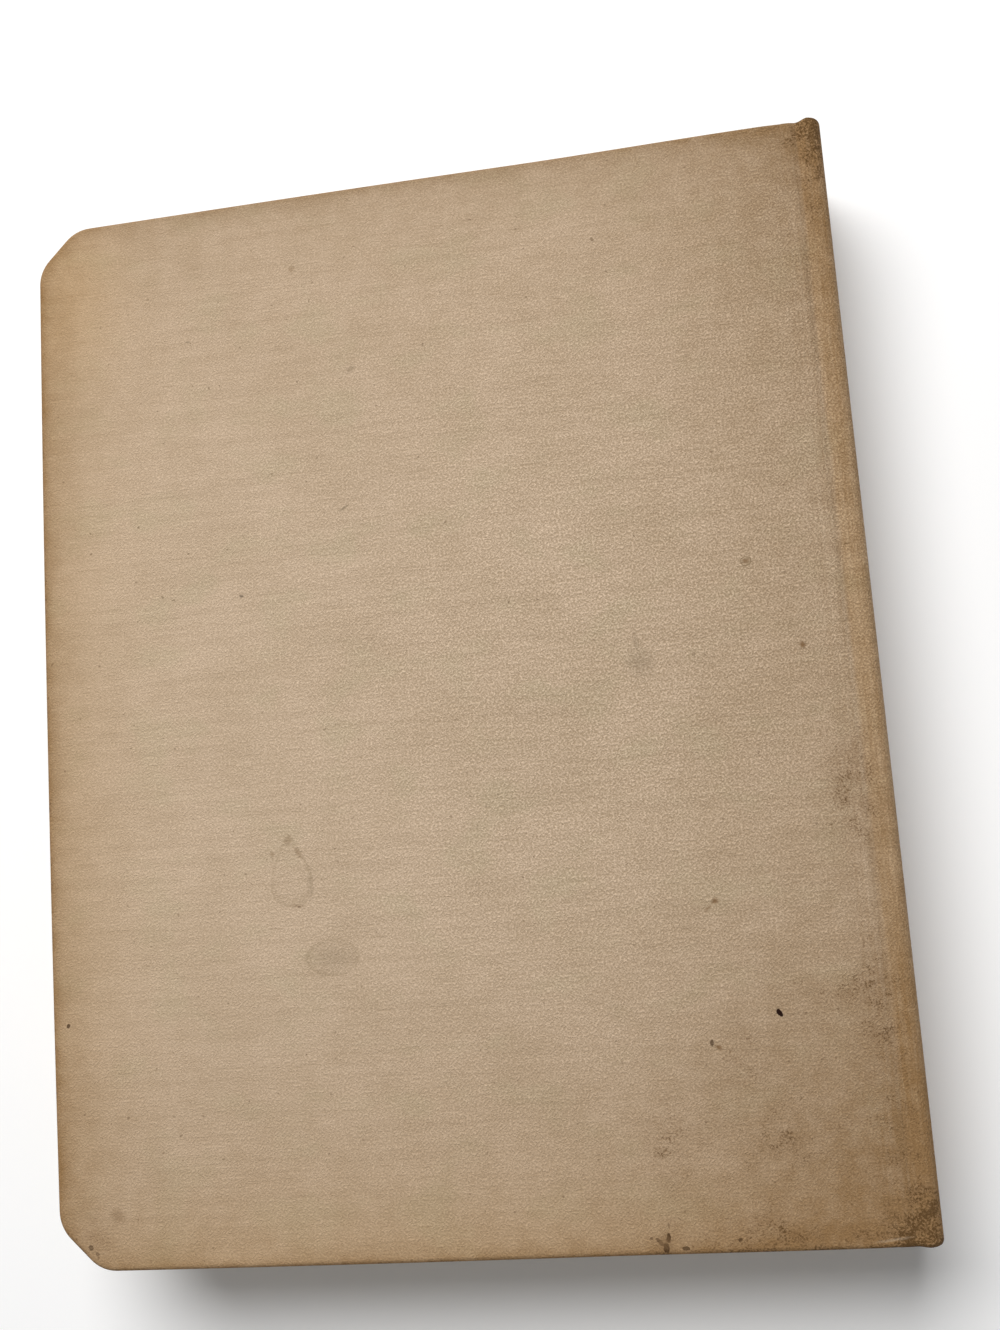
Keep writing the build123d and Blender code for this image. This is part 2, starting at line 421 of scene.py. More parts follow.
class NodePad:
    """Adds shader nodes to one material and links them."""

    def __init__(self, name: str) -> None:
        """Starts a material.

        Args:
            name: The material's name.
        """
        self.material = bpy.data.materials.new(name)
        self.material.use_nodes = True
        self.tree = self.material.node_tree
        self.shader = self.tree.nodes["Principled BSDF"]

    def feed(self, socket: Socket, value: Any) -> None:
        """Links a socket to another one, or sets its value.

        Args:
            socket: The socket to feed.
            value: Another socket, or a plain value.
        """
        if isinstance(value, bpy.types.NodeSocket):
            self.tree.links.new(value, socket)
        else:
            socket.default_value = value

    def add(self, kind: str, sockets: Optional[dict] = None, **settings: Any) -> bpy.types.Node:
        """Adds a node.

        Args:
            kind: Blender's name of the node type, after ShaderNode.
            sockets: Input names or numbers with what they get.
            settings: The node's own settings.

        Returns:
            The node.
        """
        node = self.tree.nodes.new("ShaderNode" + kind)
        for key, value in settings.items():
            setattr(node, key, value)
        for key, value in (sockets or {}).items():
            self.feed(node.inputs[key], value)
        return node

    def flat(self) -> Socket:
        """The piece's own flat coordinates, in millimetres."""
        return self.add("UVMap", uv_map=FLAT_MAP).outputs[0]

    def solid(self) -> Socket:
        """Object coordinates in millimetres."""
        place = self.add("TexCoord").outputs["Object"]
        return self.add("VectorMath", {0: place, 3: 1.0 / MM}, operation="SCALE").outputs[0]

    def worth(self, name: str) -> Socket:
        """A named attribute's number."""
        return self.add("Attribute", attribute_name=name).outputs["Fac"]

    def shift(self, place: Socket, move: tuple, scale: tuple) -> Socket:
        """Coordinates moved and scaled."""
        return self.add("Mapping", {"Vector": place, "Location": move, "Scale": scale}).outputs[0]

    def strayed(self, place: Socket, stray: Socket, reach: float) -> Socket:
        """Coordinates led astray along X and Y by a vector, as far as the reach says."""
        sockets = {0: stray, 1: (reach, reach, 0.0), 2: place}
        return self.add("VectorMath", sockets, operation="MULTIPLY_ADD").outputs[0]

    def noise(self, place: Socket, scale: float, detail: float = 2.0, rough: float = 0.5) -> Socket:
        """Noise from 0 to 1, scale features to the millimetre."""
        sockets = {"Vector": place, "Scale": scale, "Detail": detail, "Roughness": rough}
        return self.add("TexNoise", sockets).outputs[0]

    def math(self, operation: str, first: Any, second: Any = 0.0, third: Any = 0.0) -> Socket:
        """A Math node's result."""
        return self.add("Math", {0: first, 1: second, 2: third}, operation=operation).outputs[0]

    def ease(self, value: Any, low: float, high: float, least: float = 0.0, most: float = 1.0) -> Socket:
        """Eases a number from least at low to most at high.

        Args:
            value: The number's socket.
            low: Where the ease starts.
            high: Where the ease ends.
            least: The result up to low.
            most: The result from high on.

        Returns:
            The eased number's socket.
        """
        names = ("Value", "From Min", "From Max", "To Min", "To Max")
        sockets = dict(zip(names, (value, low, high, least, most)))
        return self.add("MapRange", sockets, interpolation_type="SMOOTHSTEP").outputs[0]

    def mix(self, share: Any, first: Any, second: Any) -> Socket:
        """Mixes two colours by a share."""
        pair = [(*c, 1.0) if isinstance(c, tuple) else c for c in (first, second)]
        return self.add("Mix", {0: share, 6: pair[0], 7: pair[1]}, data_type="RGBA").outputs[2]

    def tint(self, share: Any, colour: Socket, tint: Colour) -> Socket:
        """Multiplies a colour by a tint, as far as the share says."""
        sockets = {0: share, 6: colour, 7: (*tint, 1.0)}
        return self.add("Mix", sockets, data_type="RGBA", blend_type="MULTIPLY").outputs[2]

    def bump(self, height: Socket, depth: float, strength: float = 1.0) -> Socket:
        """A normal from heights of 0 to 1 that stand for a depth in millimetres."""
        sockets = {"Height": height, "Distance": depth * MM, "Strength": strength}
        return self.add("Bump", sockets).outputs[0]

    def finish(self, colour: Socket, rough: Any, normal: Socket, **constants: float) -> bpy.types.Material:
        """Feeds the shader.

        Args:
            colour: Base colour.
            rough: Roughness.
            normal: Surface normal.
            constants: Values for other inputs, with _ for a space in their names.

        Returns:
            The material.
        """
        self.feed(self.shader.inputs["Base Color"], colour)
        self.feed(self.shader.inputs["Roughness"], rough)
        self.feed(self.shader.inputs["Normal"], normal)
        for key, value in constants.items():
            self.shader.inputs[key.replace("_", " ")].default_value = value
        return self.material


class MarkKind(Enum):
    """What left a mark, which sets its colour and its edge; the pale rub is partly a painted highlight."""

    FLECK = "black fleck"
    SPOT = "brown spot"
    STAIN = "brown stain"
    SMUDGE = "grey smudge"
    RING = "dried ring"
    # a pale line: partly rubbed cloth, partly painted highlight where a lifted edge catches the light
    RUB_AND_HIGHLIGHT = "pale rub"


MARK_COLOURS: dict[MarkKind, Colour] = {
    MarkKind.FLECK: (0.013, 0.003, 0.0005),
    MarkKind.SPOT: (0.042, 0.016, 0.003),
    MarkKind.STAIN: (0.225, 0.130, 0.060),
    MarkKind.SMUDGE: (0.230, 0.172, 0.108),
    MarkKind.RING: (0.270, 0.190, 0.105),
    # the pale rub's colour, partly painted highlight
    MarkKind.RUB_AND_HIGHLIGHT: (0.640, 0.490, 0.335),
}


# Where a mark's colour starts and is full, as shares of the way from its outline to its middle
HARD_EDGE_SHARES = (0.05, 0.3)
SOFT_EDGE_SHARES = (0.0, 0.9)
RING_OUTSIDE_SHARES = (0.0, 0.08)
RING_INSIDE_SHARES = (0.09, 0.28)
# How much of a ring's colour is missing inside it
RING_HOLLOW_SHARE = 0.8


@dataclass(frozen=True)
class Mark:
    """One mark on a cover: where it lies from the cover's middle, its size and its turn in degrees.

    A taper narrows it towards its top, like a drop, and a lean makes its right side stronger.
    """

    kind: MarkKind
    x: float
    y: float
    wide: float
    tall: float
    turn: float = 0.0
    strength: float = 1.0
    taper: float = 0.0
    lean: float = 0.0

    def share(self, pad: NodePad, place: Socket) -> Socket:
        """How much of the mark's colour shows, by the way from its outline to its middle.

        Flecks and spots have a hard edge, rings are hollow, and all others are soft.

        Args:
            pad: The material's nodes.
            place: Flat coordinates.

        Returns:
            A share from 0 to 1.
        """
        sockets = {
            "Vector": place,
            "Location": (self.x, self.y, 0.0),
            "Rotation": (0.0, 0.0, math.radians(self.turn)),
            "Scale": (self.wide / 2, self.tall / 2, 1.0),
        }
        local = pad.add("Mapping", sockets, vector_type="TEXTURE").outputs[0]
        axes = pad.add("SeparateXYZ", {0: local})
        if self.taper:
            width = pad.math("MULTIPLY_ADD", axes.outputs[1], -self.taper, 1.0)
            across = pad.math("DIVIDE", axes.outputs[0], width)
            local = pad.add("CombineXYZ", {0: across, 1: axes.outputs[1]}).outputs[0]
        inside = pad.add("TexGradient", {"Vector": local}, gradient_type="SPHERICAL").outputs[1]
        if self.kind is not MarkKind.RING:
            hard = self.kind in (MarkKind.FLECK, MarkKind.SPOT)
            edge = HARD_EDGE_SHARES if hard else SOFT_EDGE_SHARES
            return pad.ease(inside, *edge, 0.0, self.strength)
        outer = pad.ease(inside, *RING_OUTSIDE_SHARES, 0.0, self.strength)
        inner = pad.ease(inside, *RING_INSIDE_SHARES, 0.0, RING_HOLLOW_SHARE * self.strength)
        ring = pad.math("SUBTRACT", outer, inner)
        leaning = pad.ease(axes.outputs[0], -1.0, 1.0, 1.0 - self.lean, 1.0 + self.lean)
        return pad.math("MULTIPLY", ring, leaning)


# Marks on the back cover
BACK_MARKS: tuple[Mark, ...] = (
    Mark(MarkKind.RING, -35.5, -35.6, 8.6, 15.6, 2.0, 0.23, 0.6, 0.15),
    Mark(MarkKind.STAIN, -35.8, -29.2, 2.8, 3.4, 0.0, 0.38),
    Mark(MarkKind.STAIN, -33.8, -32.0, 1.5, 4.6, 34.0, 0.46),
    Mark(MarkKind.STAIN, -39.4, -31.9, 1.8, 1.6, -30.0, 0.40),
    Mark(MarkKind.SMUDGE, -31.3, -38.6, 2.4, 8.0, 4.0, 0.20),
    Mark(MarkKind.STAIN, -34.4, -43.0, 5.0, 1.3, -4.0, 0.42),
    Mark(MarkKind.FLECK, -34.0, -43.2, 0.7, 0.5, 0.0, 0.5),
    Mark(MarkKind.RING, -27.4, -54.0, 12.0, 8.0, 0.0, 0.20, 0.0, -0.4),
    Mark(MarkKind.SMUDGE, -27.0, -54.0, 14.0, 9.0, 0.0, 0.20),
    Mark(MarkKind.SMUDGE, 41.0, 1.6, 9.0, 10.0, 10.0, 0.30),
    Mark(MarkKind.SMUDGE, 40.5, 5.6, 2.0, 8.0, 4.0, 0.30),
    Mark(MarkKind.RING, 64.3, 20.5, 2.4, 2.2, 0.0, 1.0),
    Mark(MarkKind.STAIN, 64.3, 20.5, 2.2, 2.0, 0.0, 0.85),
    Mark(MarkKind.STAIN, 74.0, 2.1, 2.0, 2.0, 0.0, 0.95),
    Mark(MarkKind.STAIN, 51.8, -47.8, 2.2, 2.0, 0.0, 0.9),
    Mark(MarkKind.STAIN, 50.2, -49.2, 3.0, 0.9, 40.0, 0.6),
    Mark(MarkKind.FLECK, 62.3, -70.2, 1.2, 2.1, 28.0, 1.0),
    Mark(MarkKind.SPOT, 48.7, -75.3, 0.95, 1.35, 20.0, 0.7),
    Mark(MarkKind.STAIN, 49.9, -76.1, 2.2, 1.2, -35.0, 0.9),
    Mark(MarkKind.SPOT, 37.0, -111.5, 1.0, 2.3, -4.0, 0.9),
    Mark(MarkKind.SPOT, 36.4, -113.4, 1.5, 2.5, 8.0, 0.85),
    Mark(MarkKind.SPOT, 35.3, -112.2, 0.9, 2.4, 42.0, 0.6),
    Mark(MarkKind.STAIN, 36.3, -112.3, 4.4, 4.4, 0.0, 0.6),
    Mark(MarkKind.SPOT, 33.7, -111.6, 1.0, 0.9, 0.0, 0.45),
    Mark(MarkKind.SPOT, 40.2, -113.6, 1.7, 1.0, -10.0, 0.7),
    Mark(MarkKind.SPOT, 37.2, -109.2, 0.5, 1.5, 0.0, 0.35),
    Mark(MarkKind.SPOT, 50.8, -112.3, 1.1, 1.0, 0.0, 0.7),
    # pale line on the lifted tail corner of the joint: rubbed cloth and painted highlight
    Mark(MarkKind.RUB_AND_HIGHLIGHT, 79.5, -113.3, 10.0, 0.9, 5.0, 0.35),
    Mark(MarkKind.SMUDGE, -19.7, 41.3, 3.6, 0.9, 25.0, 0.7),
    Mark(MarkKind.SMUDGE, -16.6, 72.4, 3.4, 2.2, 30.0, 0.4),
    Mark(MarkKind.SMUDGE, -53.8, 83.6, 1.6, 0.6, 0.0, 0.7),
    Mark(MarkKind.STAIN, -28.9, 97.4, 2.6, 2.4, 0.0, 0.4),
    Mark(MarkKind.FLECK, -43.8, 24.1, 1.1, 0.8, -20.0, 0.5),
    Mark(MarkKind.SPOT, -85.8, -64.7, 0.8, 1.2, -30.0, 0.8),
    Mark(MarkKind.SPOT, -82.0, -109.6, 1.1, 1.6, 30.0, 0.6),
    Mark(MarkKind.SPOT, -80.6, -110.9, 0.8, 1.2, 30.0, 0.45),
    Mark(MarkKind.STAIN, -75.8, -103.5, 5.4, 4.0, -30.0, 0.42),
)


@dataclass(frozen=True)
class Patch:
    """A soft round patch, for wear and for painted shade: where it lies from the cover's middle, its reach and
    its strength.
    """

    x: float
    y: float
    wide: float
    tall: float
    strength: float

    def at(self, x: Array, y: Array) -> Array:
        """Strength times exp of minus half the squared distance, in units of the reach.

        Args:
            x: Places along X.
            y: Places along Y.

        Returns:
            The patch's share at those places.
        """
        across = (x - self.x) / self.wide
        along = (y - self.y) / self.tall
        return self.strength * np.exp(-0.5 * (across**2 + along**2))


@dataclass(frozen=True)
class Fade:
    """Wear that is strongest at an edge: its share there and the distance over which it fades."""

    share: float
    reach: float

    def at(self, distance: Array) -> Array:
        """The share left at a distance: exp of minus distance over reach."""
        return self.share * np.exp(-distance / self.reach)


@dataclass(frozen=True)
class Ramp:
    """Wear that grows across the sheet: its full share, where it starts and where it is full."""

    share: float
    start: float
    full: float

    def at(self, place: Array) -> Array:
        """The share at a place, eased from start to full."""
        return self.share * smooth(place, self.start, self.full)


@dataclass(frozen=True)
class Strip:
    """A strip along the joint, by distances from the hinge line: where it starts, is full, wanes and ends."""

    start: float
    full: float
    wane: float
    end: float

    def at(self, from_hinge: Array) -> Array:
        """1 inside the strip, eased to 0 at both sides."""
        return smooth(from_hinge, self.start, self.full) * smooth(from_hinge, self.end, self.wane)


def patch_sum(patches: tuple[Patch, ...], x: Array, y: Array) -> Array:
    """The sum of soft patches at places on the cover."""
    return sum(patch.at(x, y) for patch in patches)


# Places on the back cover that are darker than their surroundings: brown toning at the head's spine corner,
# and painted shade of the light falling off at the tail's spine corner
TONED_AND_SHADED_PLACES: tuple[Patch, ...] = (
    Patch(87.0, 106.0, 12.0, 14.0, 0.10),
    Patch(80.0, -106.0, 38.0, 34.0, 0.29),
)
# Places on the back cover that hold dirt
DIRTY_PLACES: tuple[Patch, ...] = (
    Patch(86.2, -112.6, 4.6, 4.6, 0.58),
    Patch(83.0, -92.0, 5.0, 30.0, 0.15),
    Patch(57.0, -95.0, 24.0, 15.0, 0.16),
    Patch(66.0, -114.0, 22.0, 3.0, 0.25),
    Patch(80.6, -64.0, 2.6, 7.0, 0.21),
    Patch(72.0, -66.5, 9.0, 2.2, 0.22),
    Patch(81.2, -75.0, 2.0, 2.6, 0.18),
    Patch(55.0, -77.0, 4.0, 6.0, 0.15),
    Patch(38.3, -94.5, 2.2, 6.0, 0.24),
    Patch(61.3, -94.4, 4.0, 3.0, 0.23),
    Patch(57.0, -109.8, 4.0, 2.2, 0.25),
    Patch(80.4, -28.0, 4.2, 10.0, 0.34),
    Patch(87.0, 112.0, 6.0, 7.0, 0.30),
    Patch(86.8, 106.0, 2.2, 11.0, 0.24),
    Patch(86.4, -111.0, 2.6, 5.0, 0.20),
    Patch(84.0, 80.0, 5.0, 30.0, 0.12),
    Patch(-82.0, -108.0, 5.0, 5.0, 0.22),
)
# The fore-edge corner at the head, yellower than the rest
WARM_PLACES: tuple[Patch, ...] = (Patch(-82.0, 100.0, 9.0, 14.0, 0.60),)
# Places where the painted shade in the weave's hollows and the painted highlight on its crests are strongest
RELIEF_SHADING_PLACES: tuple[Patch, ...] = (
    Patch(46.0, 6.0, 66.0, 74.0, 0.90),
    Patch(86.0, 88.0, 16.0, 46.0, 0.50),
)


@dataclass(frozen=True)
class ClothFinish:
    """Worn tan book cloth: an uneven plain weave, slubs, mottling, brown toning and ground-in dirt, with
    painted shade in the weave's hollows and painted highlight on its crests.
    """

    clean: Colour = (0.655, 0.498, 0.353)
    dull: Colour = (0.612, 0.462, 0.320)
    green: Colour = (0.590, 0.475, 0.318)
    # this colour serves both brown toning and painted shade
    toned_and_shaded: Colour = (0.312, 0.192, 0.092)
    rust: Colour = (0.264, 0.155, 0.073)
    dirt: Colour = (0.090, 0.044, 0.012)
    # the hollow tint is painted shade in the weave's hollows, and the own colour of the weft's bands and
    # slubs; the crest tint is painted highlight on the crests
    hollow_shade_and_weft_tint: Colour = (0.600, 0.563, 0.500)
    crest_highlight_tint: Colour = (1.380, 1.400, 1.430)
    warm_tint: Colour = (1.050, 0.985, 0.860)
    thread_pitch: float = 0.78
    weave_depth: float = 0.16
    stray_scale: float = 0.9
    stray_reach: float = 1.6
    slub_length: float = 7.0
    slub_width: float = 0.5
    pebble_scale: float = 2.2
    weave_share: float = 0.34
    pebble_share: float = 0.56
    slub_share: float = 0.10
    # shares of the painted shade in the hollows and of the painted highlight on the crests
    hollow_shade_share: float = 0.62
    crest_highlight_share: float = 0.45
    tone_scale: float = 0.2
    line_scale: tuple = (1.1, 0.035, 1.0)
    line_tone: tuple = (-0.08, 0.16)
    cloud_scale: float = 0.05
    patch_scale: tuple = (0.07, 0.10, 1.0)
    band_scale: tuple = (0.03, 0.55, 1.0)
    dirt_scale: float = 0.30
    rust_share: float = 0.70
    dirt_share: float = 0.80
    patch_dirt_share: float = 0.55
    crest_clean_share: float = 0.62
    grime_speck_share: float = 0.12
    speck_scale: float = 0.8
    speck_share: float = 0.42
    rag_scale: float = 0.8
    rag_reach: float = 0.7

    def weave(self, pad: NodePad, place: Socket) -> Socket:
        """Heights of 0 to 1: a sine along the weft times one along the warp, both led astray by noise.

        Args:
            pad: The material's nodes.
            place: Flat coordinates.

        Returns:
            The heights.
        """
        stray = pad.add("TexNoise", {"Vector": place, "Scale": self.stray_scale, "Detail": 1.0}).outputs[1]
        axes = pad.add("SeparateXYZ", {0: pad.strayed(place, stray, self.stray_reach)})
        turns = 2.0 * math.pi / self.thread_pitch
        across = pad.math("SINE", pad.math("MULTIPLY", axes.outputs[0], turns))
        along = pad.math("SINE", pad.math("MULTIPLY", axes.outputs[1], turns))
        return pad.math("MULTIPLY_ADD", pad.math("MULTIPLY", across, along), 0.5, 0.5)

    def make(self, name: str, marks: tuple[Mark, ...]) -> bpy.types.Material:
        """Builds the cloth's material.

        Args:
            name: The material's name.
            marks: Marks on the cloth, in its flat coordinates.

        Returns:
            The material.
        """
        pad = NodePad(name)
        place = pad.flat()
        pebble = pad.ease(pad.noise(place, self.pebble_scale, 3.0, 0.7), 0.32, 0.68)
        weft = pad.shift(place, (0.0, 0.0, 0.0), (1.0 / self.slub_length, 1.0 / self.slub_width, 1.0))
        slub = pad.noise(weft, 1.0, 1.0)
        grain = pad.math("MULTIPLY", pebble, self.pebble_share)
        woven = pad.math("MULTIPLY_ADD", self.weave(pad, place), self.weave_share, grain)
        threads = pad.math("MULTIPLY_ADD", pad.ease(slub, 0.3, 0.7), self.slub_share, woven)
        tone_noise = pad.noise(place, self.tone_scale, 5.0, 0.65)
        # brown toning mixed with painted shade towards the spine, the head, the tail and the rims
        tone = pad.math("MULTIPLY", pad.worth(TONING_AND_SHADE), pad.ease(tone_noise, 0.25, 0.75, 0.8, 1.2))
        tone = pad.math("MULTIPLY_ADD", self.stretched(pad, place), pad.worth(JOINT), tone)
        colour = pad.mix(tone, self.aged(pad, place, slub), self.toned_and_shaded)
        colour = pad.tint(pad.worth(WARM), colour, self.warm_tint)
        # painted shade in the weave's hollows and painted highlight on its crests, for the weave's relief lit
        # from above
        relief_shading = pad.worth(RELIEF_SHADING)
        hollows = pad.math("MULTIPLY", relief_shading, pad.ease(threads, 0.18, 0.74, self.hollow_shade_share, 0.0))
        crests = pad.math("MULTIPLY", relief_shading, pad.ease(threads, 0.58, 0.92, 0.0, self.crest_highlight_share))
        colour = pad.tint(crests, pad.tint(hollows, colour, self.hollow_shade_and_weft_tint), self.crest_highlight_tint)
        colour = self.soiled(pad, place, colour, pebble)
        colour = self.marked(pad, place, colour, marks)
        rough = pad.ease(threads, 0.2, 0.9, 0.92, 0.74)
        normal = pad.bump(threads, self.weave_depth)
        return pad.finish(colour, rough, normal, Specular_IOR_Level=0.14)

    def stretched(self, pad: NodePad, place: Socket) -> Socket:
        """Fine paler and darker lines along the joint, where the cloth has bent many times."""
        lines = pad.noise(pad.shift(place, (0.0, 0.0, 0.0), self.line_scale), 1.0, 3.0, 0.6)
        return pad.ease(lines, 0.3, 0.7, *self.line_tone)

    def aged(self, pad: NodePad, place: Socket, slub: Socket) -> Socket:
        """The cloth's own colour: faint clouds, greenish patches, bands along the weft and thin dark slubs.

        Args:
            pad: The material's nodes.
            place: Flat coordinates.
            slub: Noise drawn out along the weft.

        Returns:
            The colour.
        """
        cloud = pad.noise(place, self.cloud_scale, 3.0, 0.6)
        patch = pad.noise(pad.shift(place, (60.0, 20.0, 0.0), self.patch_scale), 1.0, 2.0)
        bands = pad.noise(pad.shift(place, (5.0, 9.0, 0.0), self.band_scale), 1.0, 2.0)
        colour = pad.mix(pad.ease(cloud, 0.35, 0.68), self.clean, self.dull)
        colour = pad.mix(pad.ease(patch, 0.50, 0.72, 0.0, 0.50), colour, self.green)
        colour = pad.tint(pad.ease(bands, 0.42, 0.70, 0.0, 0.14), colour, self.hollow_shade_and_weft_tint)
        return pad.tint(pad.ease(slub, 0.66, 0.80, 0.0, 0.50), colour, self.hollow_shade_and_weft_tint)

    def soiled(self, pad: NodePad, place: Socket, colour: Socket, pebble: Socket) -> Socket:
        """Dirt in the cloth's hollows where the grime attribute is high, which along the rims is partly
        painted shade, and sparse specks all over.

        Args:
            pad: The material's nodes.
            place: Flat coordinates.
            colour: Colour so far.
            pebble: Grain whose hollows hold the dirt.

        Returns:
            The colour with dirt.
        """
        grime = pad.worth(GRIME_AND_RIM_SHADE)
        patches = pad.ease(pad.noise(place, self.dirt_scale, 5.0, 0.7), 0.30, 0.72)
        brown = pad.math("MULTIPLY", patches, pad.ease(grime, 0.0, 0.5, 0.0, self.rust_share))
        colour = pad.mix(brown, colour, self.rust)
        patchy = pad.math("MULTIPLY_ADD", patches, self.patch_dirt_share, grime)
        grains = pad.math("MULTIPLY_ADD", pebble, -self.crest_clean_share, patchy)
        soil = pad.ease(grains, 0.38, 0.82, 0.0, self.dirt_share)
        colour = pad.mix(pad.math("MULTIPLY", soil, pad.ease(grime, 0.02, 0.25)), colour, self.dirt)
        specks = pad.noise(pad.shift(place, (11.0, 31.0, 0.0), (1.0, 1.0, 1.0)), self.speck_scale, 1.0)
        sparse = pad.math("MULTIPLY_ADD", grime, self.grime_speck_share, specks)
        return pad.mix(pad.ease(sparse, 0.72, 0.80, 0.0, self.speck_share), colour, self.dirt)

    def marked(self, pad: NodePad, place: Socket, colour: Socket, marks: tuple[Mark, ...]) -> Socket:
        """Lays the marks over the colour, kind by kind, with outlines made ragged by noise.

        Args:
            pad: The material's nodes.
            place: Flat coordinates.
            colour: Colour so far.
            marks: The marks.

        Returns:
            The colour with its marks.
        """
        stray = pad.add("TexNoise", {"Vector": place, "Scale": self.rag_scale, "Detail": 3.0}).outputs[1]
        centred = pad.add("VectorMath", {0: stray, 1: (0.5, 0.5, 0.5)}, operation="SUBTRACT").outputs[0]
        ragged = pad.strayed(place, centred, self.rag_reach)
        for kind in MarkKind:
            total = 0.0
            for mark in marks:
                if mark.kind is kind:
                    total = pad.math("MAXIMUM", total, mark.share(pad, ragged))
            colour = pad.mix(total, colour, MARK_COLOURS[kind])
        return colour


@dataclass(frozen=True)
class PaperFinish:
    """Aged paper: fibres, cloudy toning and brown specks."""

    clean: Colour
    aged: Colour
    speck: Colour = (0.33, 0.20, 0.09)
    cloud_scale: float = 0.03
    fibre_scale: float = 1.4
    fibre_depth: float = 0.03
    speck_scale: float = 0.42
    on_sheet: bool = True

    def make(self, name: str) -> bpy.types.Material:
        """Builds the paper's material.

        Args:
            name: The material's name.

        Returns:
            The material.
        """
        pad = NodePad(name)
        place = pad.flat() if self.on_sheet else pad.solid()
        cloud = pad.noise(place, self.cloud_scale, 5.0, 0.6)
        fibre = pad.noise(place, self.fibre_scale, 4.0, 0.7)
        specks = pad.noise(place, self.speck_scale, 2.0, 0.5)
        colour = pad.mix(pad.ease(cloud, 0.25, 0.8, 0.05, 0.40), self.clean, self.aged)
        if self.on_sheet:
            colour = pad.mix(pad.worth(TONING_AND_SHADE), colour, self.aged)
        colour = pad.mix(pad.ease(specks, 0.72, 0.84, 0.0, 0.35), colour, self.speck)
        colour = pad.mix(pad.ease(fibre, 0.3, 0.8, 0.0, 0.12), colour, self.aged)
        normal = pad.bump(fibre, self.fibre_depth)
        return pad.finish(colour, pad.ease(fibre, 0.2, 0.8, 0.78, 0.92), normal, Specular_IOR_Level=0.3)


@dataclass(frozen=True)
class PageEdgeFinish:
    """Cut edges of many pages: fine lines that follow the leaves, with toning and dust."""

    clean: Colour = (0.735, 0.630, 0.455)
    aged: Colour = (0.545, 0.415, 0.255)
    line: Colour = (0.330, 0.235, 0.135)
    lines_to_mm: float = 5.5
    line_depth: float = 0.12
    line_share: float = 0.62
    dust_share: float = 0.3

    def make(self, name: str) -> bpy.types.Material:
        """Builds the page edges' material.

        Args:
            name: The material's name.

        Returns:
            The material.
        """
        pad = NodePad(name)
        place = pad.solid()
        leaves = pad.noise(pad.shift(place, (0.0, 0.0, 0.0), (0.02, 0.02, self.lines_to_mm)), 1.0, 3.0, 0.7)
        cloud = pad.noise(pad.shift(place, (3.0, 5.0, 0.0), (0.05, 0.05, 0.22)), 1.0, 4.0, 0.6)
        dust = pad.noise(place, 0.9, 4.0, 0.7)
        colour = pad.mix(pad.ease(cloud, 0.3, 0.75), self.clean, self.aged)
        colour = pad.mix(pad.ease(leaves, 0.35, 0.62, self.line_share, 0.0), colour, self.line)
        colour = pad.mix(pad.ease(dust, 0.58, 0.78, 0.0, self.dust_share), colour, self.line)
        normal = pad.bump(leaves, self.line_depth)
        return pad.finish(colour, pad.ease(dust, 0.2, 0.8, 0.8, 0.95), normal, Specular_IOR_Level=0.25)


@dataclass(frozen=True)
class WovenFinish:
    """Open starched cotton, as two crossed sets of threads."""

    thread: Colour = (0.62, 0.55, 0.44)
    hole: Colour = (0.34, 0.27, 0.18)
    pitch: float = 0.9
    thread_depth: float = 0.12

    def make(self, name: str) -> bpy.types.Material:
        """Builds the cotton's material: the higher of two sine ridges is thread, the rest is hole.

        Args:
            name: The material's name.

        Returns:
            The material.
        """
        pad = NodePad(name)
        axes = pad.add("SeparateXYZ", {0: pad.solid()})
        turns = 2.0 * math.pi / self.pitch
        slant = pad.math("ADD", axes.outputs[0], axes.outputs[2])
        across = pad.math("SINE", pad.math("MULTIPLY", slant, turns))
        along = pad.math("SINE", pad.math("MULTIPLY", axes.outputs[1], turns))
        height = pad.ease(pad.math("MAXIMUM", across, along), -0.2, 0.7)
        colour = pad.mix(height, self.hole, self.thread)
        return pad.finish(colour, pad.ease(height, 0.0, 1.0, 0.95, 0.85), pad.bump(height, self.thread_depth))


@dataclass(frozen=True)
class PulpFinish:
    """Pressed pulp board or card: grey fibres with darker flecks."""

    pale: Colour
    dark: Colour
    fibre_scale: float = 0.8
    fibre_depth: float = 0.08
    fleck_scale: float = 2.2
    fleck_share: float = 0.6

    def make(self, name: str) -> bpy.types.Material:
        """Builds the board's material.

        Args:
            name: The material's name.

        Returns:
            The material.
        """
        pad = NodePad(name)
        place = pad.solid()
        fibre = pad.noise(place, self.fibre_scale, 5.0, 0.7)
        fleck = pad.noise(place, self.fleck_scale, 2.0, 0.5)
        colour = pad.mix(pad.ease(fibre, 0.3, 0.7), self.pale, self.dark)
        colour = pad.mix(pad.ease(fleck, 0.62, 0.74, 0.0, self.fleck_share), colour, self.dark)
        return pad.finish(colour, pad.ease(fibre, 0.3, 0.7, 0.9, 0.97), pad.bump(fibre, self.fibre_depth))


